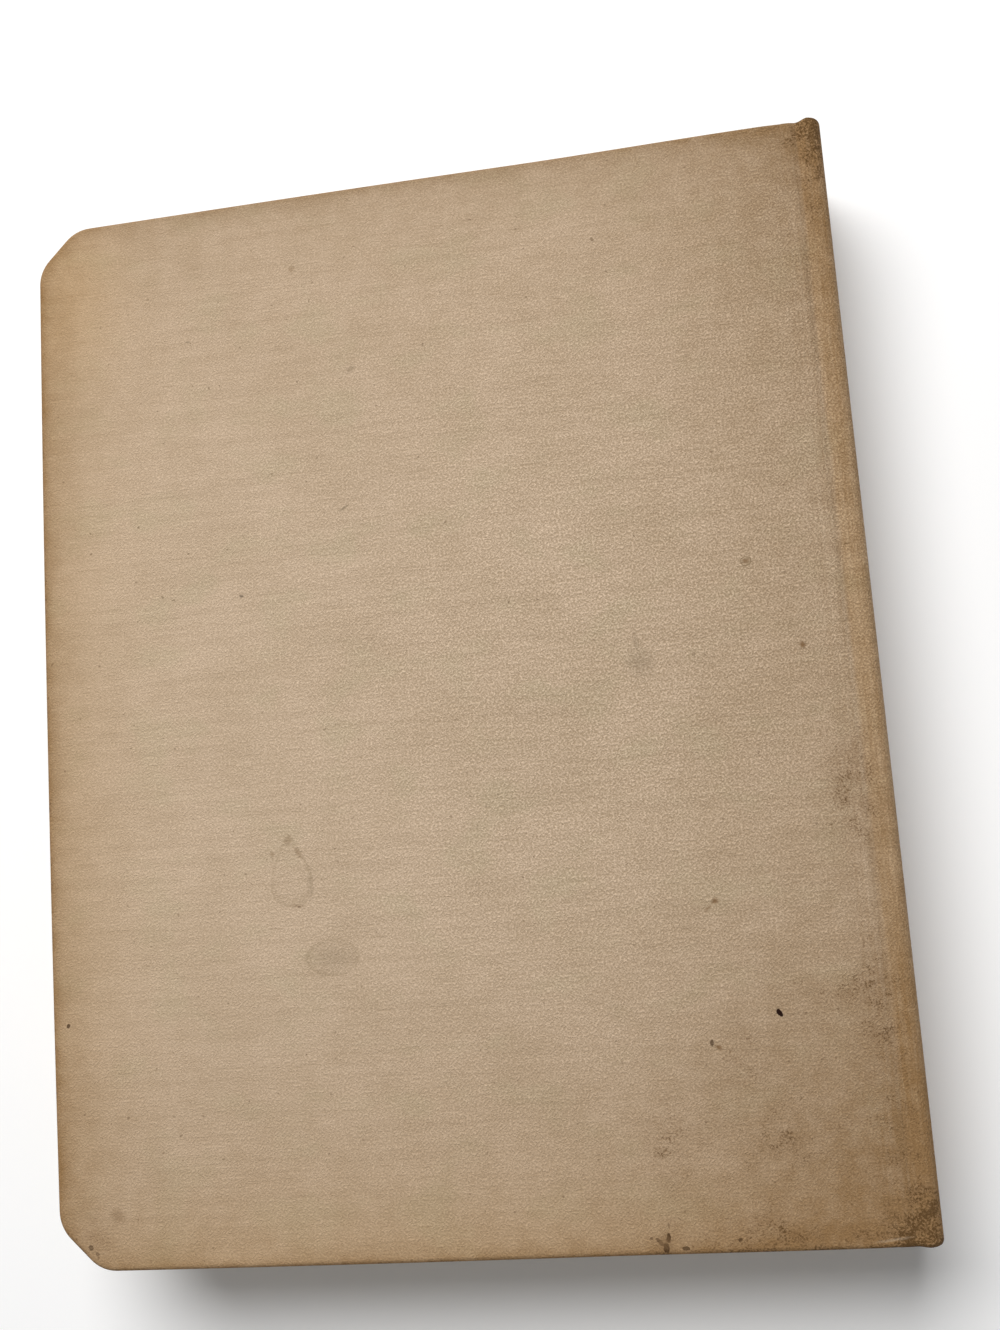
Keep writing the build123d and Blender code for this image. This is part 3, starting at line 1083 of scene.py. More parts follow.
@dataclass(frozen=True)
class BandFinish:
    """Faded silk thread wound over a core, in two colours by turns."""

    light: Colour = (0.62, 0.50, 0.33)
    deep: Colour = (0.40, 0.19, 0.11)
    pitch: float = 1.5
    twist_scale: tuple = (0.6, 6.0, 1.0)
    twist_depth: float = 0.06

    def make(self, name: str) -> bpy.types.Material:
        """Builds the band's material: colour changes with a sine along the winding.

        Args:
            name: The material's name.

        Returns:
            The material.
        """
        pad = NodePad(name)
        place = pad.flat()
        axes = pad.add("SeparateXYZ", {0: place})
        turns = 2.0 * math.pi / self.pitch
        wound = pad.math("SINE", pad.math("MULTIPLY", axes.outputs[1], turns))
        fade = pad.noise(place, 0.5, 3.0, 0.6)
        twist = pad.noise(pad.shift(place, (0.0, 0.0, 0.0), self.twist_scale), 1.0)
        colour = pad.mix(pad.ease(wound, -0.25, 0.25), self.light, self.deep)
        colour = pad.mix(pad.ease(fade, 0.35, 0.8, 0.1, 0.55), colour, self.light)
        return pad.finish(colour, pad.ease(twist, 0.2, 0.8, 0.6, 0.8), pad.bump(twist, self.twist_depth))


@dataclass(frozen=True)
class CaseCloth:
    """The case's cloth as one sheet, unrolled: back cover, spine and front cover from left to right.

    Its wear and painted shade are placed as on the back cover. What only the back cover shows ends at the
    middle of the spine.
    """

    sizes: BookSizes
    spine_half: float
    head_flare: float
    tail_flare: float
    flare_from: float = 23.0
    flare_to: float = 83.0
    back_ease: float = 9.0
    spine_ease: float = 6.0
    # darkening of the rolled rims: partly toning, partly painted shade of the rims turning down
    rim_tone_and_shade: Fade = Fade(0.34, 1.2)
    edge_tone: Fade = Fade(0.26, 6.5)
    fore_tone: Fade = Fade(0.28, 13.0)
    # the cover darkens towards the spine, the head and the tail: partly brown toning, partly painted shade of
    # the light falling off
    side_tone_and_shade: Ramp = Ramp(0.34, 26.0, 92.0)
    head_tone_and_shade: Ramp = Ramp(0.22, 20.0, 120.0)
    tail_tone_and_shade: Ramp = Ramp(0.25, 35.0, 115.0)
    # the spine's orange toning, with painted shade on its rounded edge
    spine_tone_and_shade: float = 0.20
    cap_grime: Fade = Fade(0.36, 2.2)
    # darkening of the rolled rims: partly dirt, partly painted shade of the rims turning down
    rim_grime_and_shade: Fade = Fade(0.30, 0.7)
    spine_grime: float = 0.05
    most_grime: float = 0.68
    rubbed: Strip = Strip(-3.6, -1.6, 1.0, 5.0)
    rubbed_warm: float = 0.75
    edge_warm: Fade = Fade(0.80, 12.0)
    bent: Strip = Strip(-10.0, -4.0, 1.0, 6.0)
    # least strength of the painted shade and highlight on the weave
    least_relief_shading: float = 0.45

    def unroll(self, side: CoverSide, flat: Array) -> Array:
        """Moves a cover's flat places to its side of the sheet.

        Args:
            side: The cover.
            flat: Places as on the back cover, (..., 2).

        Returns:
            Places on the sheet.
        """
        if side is CoverSide.BACK:
            return flat
        return flat * [-1.0, 1.0] + [2.0 * self.middle, 0.0]

    @property
    def middle(self) -> float:
        """Where the middle of the spine lies on the sheet."""
        return self.sizes.hinge + self.spine_half

    def soil(self, flat: Array) -> dict[str, Array]:
        """Toning along the edges and the spine, painted shade towards the spine, the head, the tail and along
        the rims, dirt where hands and shelves left it, and the bent joints.

        Args:
            flat: Places on the sheet, (..., 2).

        Returns:
            The toning with painted shade, the grime with painted rim shade, the joint, the painted shade and
            highlight on the weave, and the warm attributes.
        """
        book = self.sizes
        y = flat[..., 1]
        x = np.minimum(flat[..., 0], 2.0 * self.middle - flat[..., 0])
        back = smooth(flat[..., 0], self.middle + self.back_ease, self.middle - self.back_ease)
        from_hinge = x - book.hinge
        from_fore = x - book.fore
        end_flare = np.where(y > 0.0, self.head_flare, self.tail_flare)
        from_end = book.half + end_flare * smooth(x, self.flare_from, self.flare_to) - np.abs(y)
        from_cut = (from_fore + from_end - book.corner_cut) / math.sqrt(2.0)
        edge = np.clip(np.minimum(np.minimum(from_fore, from_end), from_cut), 0.0, None)
        fore = np.clip(from_fore, 0.0, None)
        end = np.clip(from_end, 0.0, None)
        tail = np.clip(book.half + y, 0.0, None)
        on_spine = smooth(from_hinge, -self.spine_ease, 0.0)
        toning = self.rim_tone_and_shade.at(edge) + self.edge_tone.at(edge) + self.fore_tone.at(fore)
        toning = toning + self.side_tone_and_shade.at(x) + self.spine_tone_and_shade * on_spine
        # painted shade towards the head, the tail and the tail's spine corner, over brown toning
        back_toning_and_shade = patch_sum(TONED_AND_SHADED_PLACES, x, y) + self.head_tone_and_shade.at(y) + self.tail_tone_and_shade.at(-y)
        grime = on_spine * (self.cap_grime.at(end) + self.spine_grime) + patch_sum(DIRTY_PLACES, x, y) * back
        warm_edge = self.edge_warm.at(np.minimum(fore, tail))
        warm = np.maximum(self.rubbed_warm * self.rubbed.at(from_hinge), warm_edge)
        return {
            TONING_AND_SHADE: np.clip(toning + back_toning_and_shade * back, 0.0, 1.0),
            # dirt, with the rims darkened by dirt and by painted shade
            GRIME_AND_RIM_SHADE: np.clip(grime, 0.0, self.most_grime) + self.rim_grime_and_shade.at(edge),
            JOINT: self.bent.at(from_hinge),
            RELIEF_SHADING: self.least_relief_shading + patch_sum(RELIEF_SHADING_PLACES, x, y),
            WARM: warm + patch_sum(WARM_PLACES, x, y) * back,
        }


@dataclass
class CoverCloth:
    """Cloth over one board: a slightly uneven face, rolled rims, a lip at the joint, and turn-ins."""

    case: CaseCloth
    side: CoverSide
    outline: LeafOutline
    cloth: bpy.types.Material
    rim_round: float = 1.0
    columns: int = 118
    rows: int = 56
    joint_sag: float = 0.24
    sag_reach: float = 9.0
    wave_depth: float = 0.03
    wave_lengths: tuple = (13.0, 31.0, 17.0, 47.0)
    wave_sway: float = 0.8
    front_phase: float = 1.7
    wall_length: float = 1.0
    lip_from: float = 0.55
    lip_radius: float = 3.45
    lip_reach: float = 2.95
    lip_power: float = 2.0
    foot_degrees: float = 5.0
    under_reach: float = 5.0
    joint_tuck: float = 0.5
    arc_steps: int = 8

    def sag(self, x: Array, y: Array) -> Array:
        """How far the face lies below flat: long shallow waves, and a fall towards the joint.

        Args:
            x: Places along X.
            y: Places along Y.

        Returns:
            Depths in millimetres, none below 0.
        """
        phase = 0.0 if self.side is CoverSide.BACK else self.front_phase
        across, sway, along, slant = self.wave_lengths
        waves = np.sin(x / across + self.wave_sway * np.sin(y / sway) + phase)
        waves = waves + np.sin(y / along - x / slant + phase)
        joint = smooth(x, self.outline.spine - self.sag_reach, self.outline.spine)
        return self.wave_depth * (1.0 + 0.5 * waves) + self.joint_sag * joint**2

    def rings(self, loop: Array, height: Array) -> tuple[Array, Array]:
        """The rolled rim and the turn-ins, as loops from the face's border to the turn-ins' inner edge.

        Each loop point carries a profile: a quarter roll, a straight wall and a quarter roll at head, tail
        and fore edge, and at the joint a lip whose under side is an arc about the hinge line.

        Args:
            loop: The face's border, (count, 2).
            height: Z of the border.

        Returns:
            Points (rings, count, 3) and their flat places (rings, count, 2).
        """
        book = self.case.sizes
        out = outward(loop)
        turn = np.linspace(0.0, math.pi / 2, self.arc_steps)[:, None]
        r = self.rim_round
        rim_out = np.concatenate([r * np.sin(turn), r * np.cos(turn)])
        under_z = book.cover_inner + r - r * np.sin(turn) + 0 * height
        rim_z = np.concatenate([height - r * (1.0 - np.cos(turn)), under_z])
        share = np.linspace(0.0, 1.0, self.arc_steps)[:, None]
        tip_rise = math.sqrt(self.lip_radius**2 - self.lip_reach**2)
        start = self.outline.spine - r - book.hinge
        face_u = start + (-self.lip_reach - start) * share
        face_z = height + (book.hinge_rise + tip_rise - height) * share**self.lip_power
        tip_angle = math.asin(tip_rise / self.lip_radius)
        foot = tip_angle + (math.radians(self.foot_degrees) - tip_angle) * share
        lip_out = np.concatenate([face_u, -self.lip_radius * np.cos(foot)]) - start
        lip_z = np.concatenate([face_z, book.hinge_rise + self.lip_radius * np.sin(foot) + 0 * height])
        joint = smooth(out[:, 0], self.lip_from, 1.0)
        reach = rim_out * (1.0 - joint) + lip_out * joint
        z = rim_z * (1.0 - joint) + lip_z * joint
        spread = np.concatenate([r * turn, r * turn + r * math.pi / 2 + self.wall_length])
        tucked = loop[:, 0] - self.joint_tuck * joint
        inner_x = np.clip(tucked, book.fore + book.turn_in, book.hinge - self.under_reach)
        inner_y = np.clip(loop[:, 1], book.turn_in - book.half, book.half - book.turn_in)
        inner_z = np.full_like(height, book.cover_inner)
        across = loop + out * reach[..., None]
        points = np.concatenate([across, z[..., None]], axis=-1)
        inner_points = np.stack([inner_x, inner_y, inner_z], axis=-1)
        flat = loop + out * spread[..., None]
        inner_flat = flat[-1] + out * (book.turn_in - r)
        return np.concatenate([points, inner_points[None]]), np.concatenate([flat, inner_flat[None]])

    def build(self) -> bpy.types.Object:
        """Makes the cloth's mesh: the face's grid and the rings round it.

        Returns:
            The cloth.
        """
        depth = self.case.sizes.depth
        mirror_depth = depth if self.side is CoverSide.FRONT else None
        draft = MeshDraft(f"{self.side.value}_cover_cloth", mirror_depth)
        outline = self.outline.inset(self.rim_round, self.outline.spine - self.rim_round)
        face = outline.grid(self.columns, self.rows)
        height = depth - self.sag(face[..., 0], face[..., 1])
        flat = self.case.unroll(self.side, face)
        draft.add(np.concatenate([face, height[..., None]], axis=-1), flat, **self.case.soil(flat))
        points, flat = self.rings(rim_of(face), rim_of(height))
        flat = self.case.unroll(self.side, closed(flat[::-1]))
        draft.add(closed(points[::-1]), flat, **self.case.soil(flat))
        return draft.build(thick=self.case.sizes.cloth_thick)

    def dress(self, piece: bpy.types.Object) -> None:
        """Gives the cloth its material and ties it to its cover.

        Args:
            piece: The cover cloth.
        """
        piece.data.materials.append(self.cloth)
        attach(piece, f"{self.side.value}_cover")
        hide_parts(f"{self.side.value}_cloth")


@dataclass
class SpineCloth:
    """Cloth round the spine: two joint ridges, rounded long edges, and caps folded in at head and tail."""

    sizes: BookSizes
    edge_round: float = 2.5
    crest_blend: float = 0.16
    fold_depth: float = 1.85
    cap_roll: float = 1.3
    head_rise: float = 0.75
    tail_rise: float = 0.3
    head_flare: float = 0.7
    tail_flare: float = 0.35
    corner_fall: float = 0.12
    rise_from: float = -2.4
    rise_to: float = -0.2
    fall_from: float = 0.4
    fall_to: float = 2.5
    fold_clear: float = 0.2
    fold_length: float = 2.0
    foot_angle: float = 0.03
    ridge_steps: int = 20
    corner_steps: int = 11
    side_steps: int = 10
    roll_steps: int = 13
    rows: int = 72

    def profile(self, inset: float) -> Array:
        """Half the cloth's section, from the back ridge's foot to the middle of the spine.

        The ridge is the softer of an arc about the hinge line and a flat top, then a quarter arc turns down
        to the flat spine.

        Args:
            inset: Distance inside the outer face.

        Returns:
            Places across (from the hinge line) and up (from it), (count, 2).
        """
        book = self.sizes
        radius = book.ridge_radius - inset
        top = book.ridge_height - inset
        reach = book.spine - book.hinge - inset
        corner = self.edge_round - inset
        blend = self.crest_blend
        swing = np.linspace(self.foot_angle, math.pi / 2, self.ridge_steps)
        rise = radius * np.sin(swing)
        soft = -blend * np.log(np.exp(-rise / blend) + np.exp(-top / blend))
        ridge = np.stack([-radius * np.cos(swing), soft], axis=-1)
        turn = np.linspace(0.0, math.pi / 2, self.corner_steps)[1:]
        edge_x = reach - corner + corner * np.sin(turn)
        edge_z = top - corner + corner * np.cos(turn)
        edge = np.stack([edge_x, edge_z], axis=-1)
        down = np.linspace(edge_z[-1], book.middle - book.hinge_rise, self.side_steps)[1:]
        side = np.stack([np.full_like(down, reach), down], axis=-1)
        return np.concatenate([ridge, edge, side])

    def section(self, inset: float) -> Array:
        """The whole section in X and Z: the half profile and its mirror image.

        Args:
            inset: Distance inside the outer face.

        Returns:
            Points from the back ridge's foot to the front ridge's, (count, 2).
        """
        book = self.sizes
        half = self.profile(inset) + [book.hinge, book.hinge_rise]
        mirrored = half[-2::-1] * [1.0, -1.0] + [0.0, book.depth]
        return np.concatenate([half, mirrored])

    def lengths(self) -> Array:
        """Places of the section's points on the unrolled sheet, with the hinge line at its own X.

        Returns:
            The length along the section up to each point, moved to the sheet's X.
        """
        outer = self.section(0.0)
        steps = np.linalg.norm(np.diff(outer, axis=0), axis=1)
        along = np.concatenate([[0.0], np.cumsum(steps)])
        ridge = slice(self.ridge_steps)
        start = np.interp(self.sizes.hinge, outer[ridge, 0], along[ridge])
        return self.sizes.hinge + along - start

    @property
    def half_length(self) -> float:
        """Length of the cloth from the hinge line to the middle of the spine."""
        along = self.lengths()
        return float(along[len(along) // 2] - self.sizes.hinge)

    @property
    def case(self) -> CaseCloth:
        """The whole case's cloth, with this spine in its middle."""
        return CaseCloth(self.sizes, self.half_length, self.head_flare, self.tail_flare)

    def end_places(self, across: Array, end: BookEnd) -> Array:
        """How far the cloth reaches along the spine: past the boards at the joint, a little less at its back.

        Args:
            across: Distances from the hinge line.
            end: The end of the spine.

        Returns:
            Distances from the book's middle.
        """
        at_head = end is BookEnd.HEAD
        rise = self.head_rise if at_head else self.tail_rise
        flare = self.head_flare if at_head else self.tail_flare
        cap = rise * smooth(across, self.rise_from, self.rise_to)
        fall = self.corner_fall * smooth(across, self.fall_from, self.fall_to)
        return self.sizes.half + flare + cap - fall

    def build(self) -> bpy.types.Object:
        """Sweeps the section along the spine and rolls its ends in.

        Returns:
            The spine cloth.
        """
        book = self.sizes
        draft = MeshDraft("spine_cover_cloth")
        outer = self.section(0.0)
        tail_end = -self.end_places(outer[:, 0] - book.hinge, BookEnd.TAIL)
        head_end = self.end_places(outer[:, 0] - book.hinge, BookEnd.HEAD)
        share = np.linspace(0.0, 1.0, self.rows)[:, None]
        straight = (tail_end + self.cap_roll) * (1.0 - share) + (head_end - self.cap_roll) * share
        turn = np.linspace(0.0, math.pi, self.roll_steps)[1:]
        insets = self.fold_depth / 2 * (1.0 - np.cos(turn))
        roll = self.cap_roll * (np.sin(turn) - 1.0)
        fold_end = book.page_half + self.fold_clear
        body = np.repeat(outer[None], self.rows, axis=0)
        caps = np.stack([self.section(inset) for inset in [*insets, self.fold_depth]])
        head = np.concatenate([head_end + roll[:, None], np.full((1, len(head_end)), fold_end)])
        tail = np.concatenate([tail_end - roll[:, None], np.full((1, len(tail_end)), -fold_end)])
        across = np.concatenate([caps[::-1], body, caps])
        y = np.concatenate([tail[::-1], straight, head])
        grid = np.stack([across[..., 0], y, across[..., 1]], axis=-1)
        rolled = np.concatenate([self.cap_roll * turn, [self.cap_roll * math.pi + self.fold_length]])
        spread = rolled[:, None] - self.cap_roll
        flat_y = np.concatenate([(tail_end - spread)[::-1], straight, head_end + spread])
        flat = np.stack([np.broadcast_to(self.lengths(), y.shape), flat_y], axis=-1)
        draft.add(grid, flat, **self.case.soil(flat))
        return draft.build(thick=book.cloth_thick)

    def dress(self, piece: bpy.types.Object, cloth: bpy.types.Material) -> None:
        """Gives the cloth its material and ties it to the pages' body.

        Args:
            piece: The spine cloth.
            cloth: The cover cloth's material.
        """
        piece.data.materials.append(cloth)
        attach(piece, "text_block")
        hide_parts("spine_cloth")


@dataclass
class JointCloth:
    """Cloth over one joint: creased when shut."""

    case: CaseCloth
    cover: CoverCloth
    spine: SpineCloth
    still: float = -0.6
    carried: float = -3.1
    cover_lap: float = -6.0
    spine_lap: float = 0.3
    cover_lap_ease: float = 1.0
    spine_lap_ease: float = 0.6
    lap_lift: float = 0.03
    ease_lead: float = 0.8
    crease: float = -3.0
    crease_depth: float = 0.36
    crease_half: float = 0.8
    crease_from: float = -45.0
    crease_to: float = 60.0
    tail_crease_share: float = 0.42
    crease_wave: float = 9.0
    crease_wave_share: float = 0.2
    end_rise: float = 0.05
    end_from: float = -4.6
    end_to: float = -2.4
    end_margin: float = 1.0
    wall_start: float = 0.4
    wall_depth: float = 1.2
    wall_share: float = 0.9
    columns: int = 33
    cover_columns: int = 7
    spine_columns: int = 5
    roll_steps: int = 9
    rows: int = 90

    def places(self) -> Array:
        """Distances of the columns from the hinge line, spaced so that the bend comes out even.

        Returns:
            Distances, from the lap on the cover to the lap on the spine.
        """
        even = np.linspace(0.0, 1.0, self.columns)
        bend = self.still + (self.carried - self.still) * uneased(even)[::-1]
        cover = np.linspace(self.cover_lap, self.carried, self.cover_columns)[:-1]
        spine = np.linspace(self.still, self.spine_lap, self.spine_columns)[1:]
        return np.concatenate([cover, bend, spine])

    def rise(self, u: Array, y: Array) -> Array:
        """Height over the hinge line: the cover's face, eased into the ridge's top, with a crease between.

        The borders dip just below the cloth they lie on, and the rest lies just above it.

        Args:
            u: Distances from the hinge line.
            y: Places along Y.

        Returns:
            Heights in millimetres.
        """
        book = self.case.sizes
        x = np.minimum(book.hinge + u, self.cover.outline.spine - self.cover.rim_round)
        face = book.depth - self.cover.sag(x, y) - book.hinge_rise
        profile = self.spine.profile(0.0)[: self.spine.ridge_steps + 1]
        ridge = np.interp(np.maximum(u, self.still), profile[:, 0], profile[:, 1])
        eased = face + (ridge - face) * smooth(u, self.carried - self.ease_lead, self.still)
        headwards = smooth(y, self.crease_from, self.crease_to)
        depth = self.crease_depth * (self.tail_crease_share + (1.0 - self.tail_crease_share) * headwards)
        depth = depth * (1.0 + self.crease_wave_share * np.sin(y / self.crease_wave))
        dip = depth * np.exp(-(((u - self.crease) / self.crease_half) ** 2))
        on_cover = smooth(u, self.cover_lap, self.cover_lap + self.cover_lap_ease)
        on_spine = smooth(u, self.spine_lap, self.spine_lap - self.spine_lap_ease)
        return eased - dip + self.lap_lift * (2.0 * on_cover * on_spine - 1.0)

    def build(self) -> bpy.types.Object:
        """Makes the strip as one grid whose ends roll down over head and tail.

        Returns:
            The strip.
        """
        book = self.case.sizes
        side = self.cover.side
        mirror_depth = book.depth if side is CoverSide.FRONT else None
        draft = MeshDraft(f"{side.value}_joint_cloth", mirror_depth)
        u = self.places()[None, :]
        on_spine = smooth(u, self.end_from, self.end_to)
        roll = self.cover.rim_round + (self.spine.cap_roll - self.cover.rim_round) * on_spine
        fall = self.cover.rim_round + (self.spine.fold_depth / 2 - self.cover.rim_round) * on_spine
        head = self.spine.end_places(u, BookEnd.HEAD) + self.end_rise
        tail = self.spine.end_places(u, BookEnd.TAIL) + self.end_rise
        share = np.linspace(0.0, 1.0, self.rows)[:, None]
        straight = -(tail - roll) * (1.0 - share) + (head - roll) * share
        turn = np.linspace(0.0, math.pi / 2, self.roll_steps)[1:, None]
        beyond = roll * np.sin(turn)
        below = fall * (1.0 - np.cos(turn))
        wall = np.stack([beyond[-1], beyond[-1] * self.wall_share])
        wall_below = np.stack([below[-1] + self.wall_start, below[-1] + self.wall_depth])
        beyond = np.concatenate([beyond, wall])
        below = np.concatenate([below, wall_below])
        y = np.concatenate([-(tail - roll) - beyond[::-1], straight, (head - roll) + beyond])
        sunk = np.concatenate([below[::-1], np.zeros_like(straight), below])
        held = np.clip(y, self.end_margin - book.half, book.half - self.end_margin)
        z = book.hinge_rise + self.rise(u + 0 * y, held) - sunk
        x = book.hinge + u + 0 * y
        spread = np.concatenate([roll * turn, roll * math.pi / 2 + wall_below - fall])
        flat_y = np.concatenate([-(tail - roll) - spread[::-1], straight, (head - roll) + spread])
        flat = self.case.unroll(side, np.stack([x, flat_y], axis=-1))
        draft.add(np.stack([x, y, z], axis=-1), flat, **self.case.soil(flat))
        return draft.build(thick=book.cloth_thick)

    def dress(self, piece: bpy.types.Object) -> None:
        """Gives the strip its material and bakes its placement into its mesh.

        Args:
            piece: The joint's strip.
        """
        hinge = self.case.sizes.hinge
        piece.data.materials.append(self.cover.cloth)
        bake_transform(piece)


@dataclass
class Endpaper:
    """One folded sheet: a flyleaf on the pages, and a pastedown that shows what it is glued over."""

    sizes: BookSizes
    side: CoverSide
    outline: LeafOutline
    margin: float = 3.0
    fold_reach: float = 3.6
    columns: int = 96
    rows: int = 40
    fold_steps: int = 25
    fold_share: float = 0.2
    fly_reach: float = 9.0
    paste_reach: float = 3.0
    fold_length: float = 9.0
    crowd: float = 2.2
    well_depth: float = 0.4
    flap_depth: float = 0.25
    step_width: float = 1.6
    ragged_depth: float = 0.012
    ragged_lengths: tuple = (9.0, 23.0, 11.0, 31.0)
    sink_from: float = 1.5
    sink_to: float = 7.0
    edge_tone: Fade = Fade(0.5, 5.0)
    fold_tone: Fade = Fade(0.4, 6.0)
    glue_tone: float = 0.16
    glue_slack: float = 0.01

    def sink(self, x: Array, y: Array) -> Array:
        """How far the pastedown sinks towards the board: most inside the turn-ins, less over the mull's flap.

        Args:
            x: Places along X.
            y: Places along Y.

        Returns:
            Depths in millimetres.
        """
        book = self.sizes
        well_x = book.fore + book.turn_in
        well_half = book.half - book.turn_in
        step = self.step_width
        inside = smooth(x, well_x, well_x + step) * smooth(well_half - np.abs(y), 0.0, step)
        flap = smooth(x, book.flap - step, book.flap)
        across, slope, along, slant = self.ragged_lengths
        waves = np.sin(x / across + y / slope) + np.sin(y / along - x / slant)
        return inside * (self.well_depth - self.ragged_depth * (waves + 2.0) - self.flap_depth * flap)

    def lift(self, from_fold: Array, reach: float) -> Array:
        """How far a leaf bends towards the other near the fold: the inverse ease of a square-law turn.

        Args:
            from_fold: Distances from the fold.
            reach: Distance at which the leaf starts to bend.

        Returns:
            Shares of the gap between the leaves.
        """
        turn = self.fold_share * np.clip(1.0 - from_fold / reach, 0.0, 1.0) ** 2
        return uneased(turn)

    def build(self) -> bpy.types.Object:
        """Makes the sheet as one grid: flyleaf, fold and pastedown side by side.

        Near the fold both leaves come together.

        Returns:
            The endpaper.
        """
        book = self.sizes
        mirror_depth = book.depth if self.side is CoverSide.FRONT else None
        draft = MeshDraft(f"{self.side.value}_endpaper", mirror_depth)
        edge = book.hinge - self.fold_reach
        leaf = self.outline.inset(self.margin, edge).grid(self.columns, self.rows, self.crowd)
        x, y = leaf[..., 0], leaf[..., 1]
        gap = book.hinge_rise - book.leaf_top
        fly_z = book.leaf_top + gap * self.lift(edge - x, self.fly_reach)
        sunk = self.sink(x, y) * smooth(x, edge - self.sink_from, edge - self.sink_to)
        paste_z = book.hinge_rise - gap * self.lift(edge - x, self.paste_reach) + sunk
        fold_lift = uneased(np.linspace(self.fold_share, 1.0 - self.fold_share, self.fold_steps))[1:-1]
        fold_x = np.repeat(x[:, -1:], fold_lift.size, axis=1)
        fold_y = np.repeat(y[:, -1:], fold_lift.size, axis=1)
        fold_z = book.leaf_top + gap * fold_lift[None, :] + 0 * fold_x
        fly = np.stack([x, y, fly_z], axis=-1)
        fold = np.stack([fold_x, fold_y, fold_z], axis=-1)
        paste = np.stack([x, y, paste_z], axis=-1)[:, ::-1]
        shift = self.fold_length * np.linspace(0.0, 1.0, fold_lift.size)[None, :]
        flat_fold = np.stack([fold_x + shift, fold_y], axis=-1)
        flat_paste = np.stack([2 * edge - x + self.fold_length, y], axis=-1)[:, ::-1]
        flat = np.concatenate([leaf, flat_fold, flat_paste], axis=1)
        grid = np.concatenate([fly, fold, paste], axis=1)
        draft.add(grid, flat, **{TONING_AND_SHADE: self.toning(grid)})
        return draft.build(thick=book.paper_thick)

    def toning(self, grid: Array) -> Array:
        """Brown toning near the sheet's edges, its fold, and over the turn-ins' glue.

        Args:
            grid: The sheet's points, (rows, columns, 3).

        Returns:
            Shares from 0 to 1.
        """
        book = self.sizes
        from_fore = grid[..., 0] - book.fore - self.margin
        from_end = book.half - self.margin - np.abs(grid[..., 1])
        from_fold = book.hinge - self.fold_reach - grid[..., 0]
        from_edge = np.minimum(from_fore, from_end)
        pasted = grid[..., 2] >= book.hinge_rise - self.glue_slack
        glued = pasted & (from_edge < book.turn_in - self.margin)
        edge_toning = self.edge_tone.at(np.clip(from_edge, 0.0, None))
        fold_toning = self.fold_tone.at(np.clip(from_fold, 0.0, None))
        return np.clip(edge_toning + fold_toning + self.glue_tone * glued, 0.0, 1.0)

    def dress(self, piece: bpy.types.Object) -> None:
        """Gives the sheet its material, bakes its placement into its mesh and hides the frame's flyleaf and
        pastedown.

        Args:
            piece: The endpaper.
        """
        book = self.sizes
        name = self.side.value
        paper = PaperFinish(clean=(0.68, 0.575, 0.41), aged=(0.50, 0.365, 0.21))
        piece.data.materials.append(paper.make(f"{name}_endpaper"))
        low, high = book.leaf_top, book.hinge_rise
        if self.side is CoverSide.FRONT:
            low, high = book.depth - low, book.depth - high
        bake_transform(piece)
        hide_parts(f"{name}_flyleaf", f"{name}_pastedown")


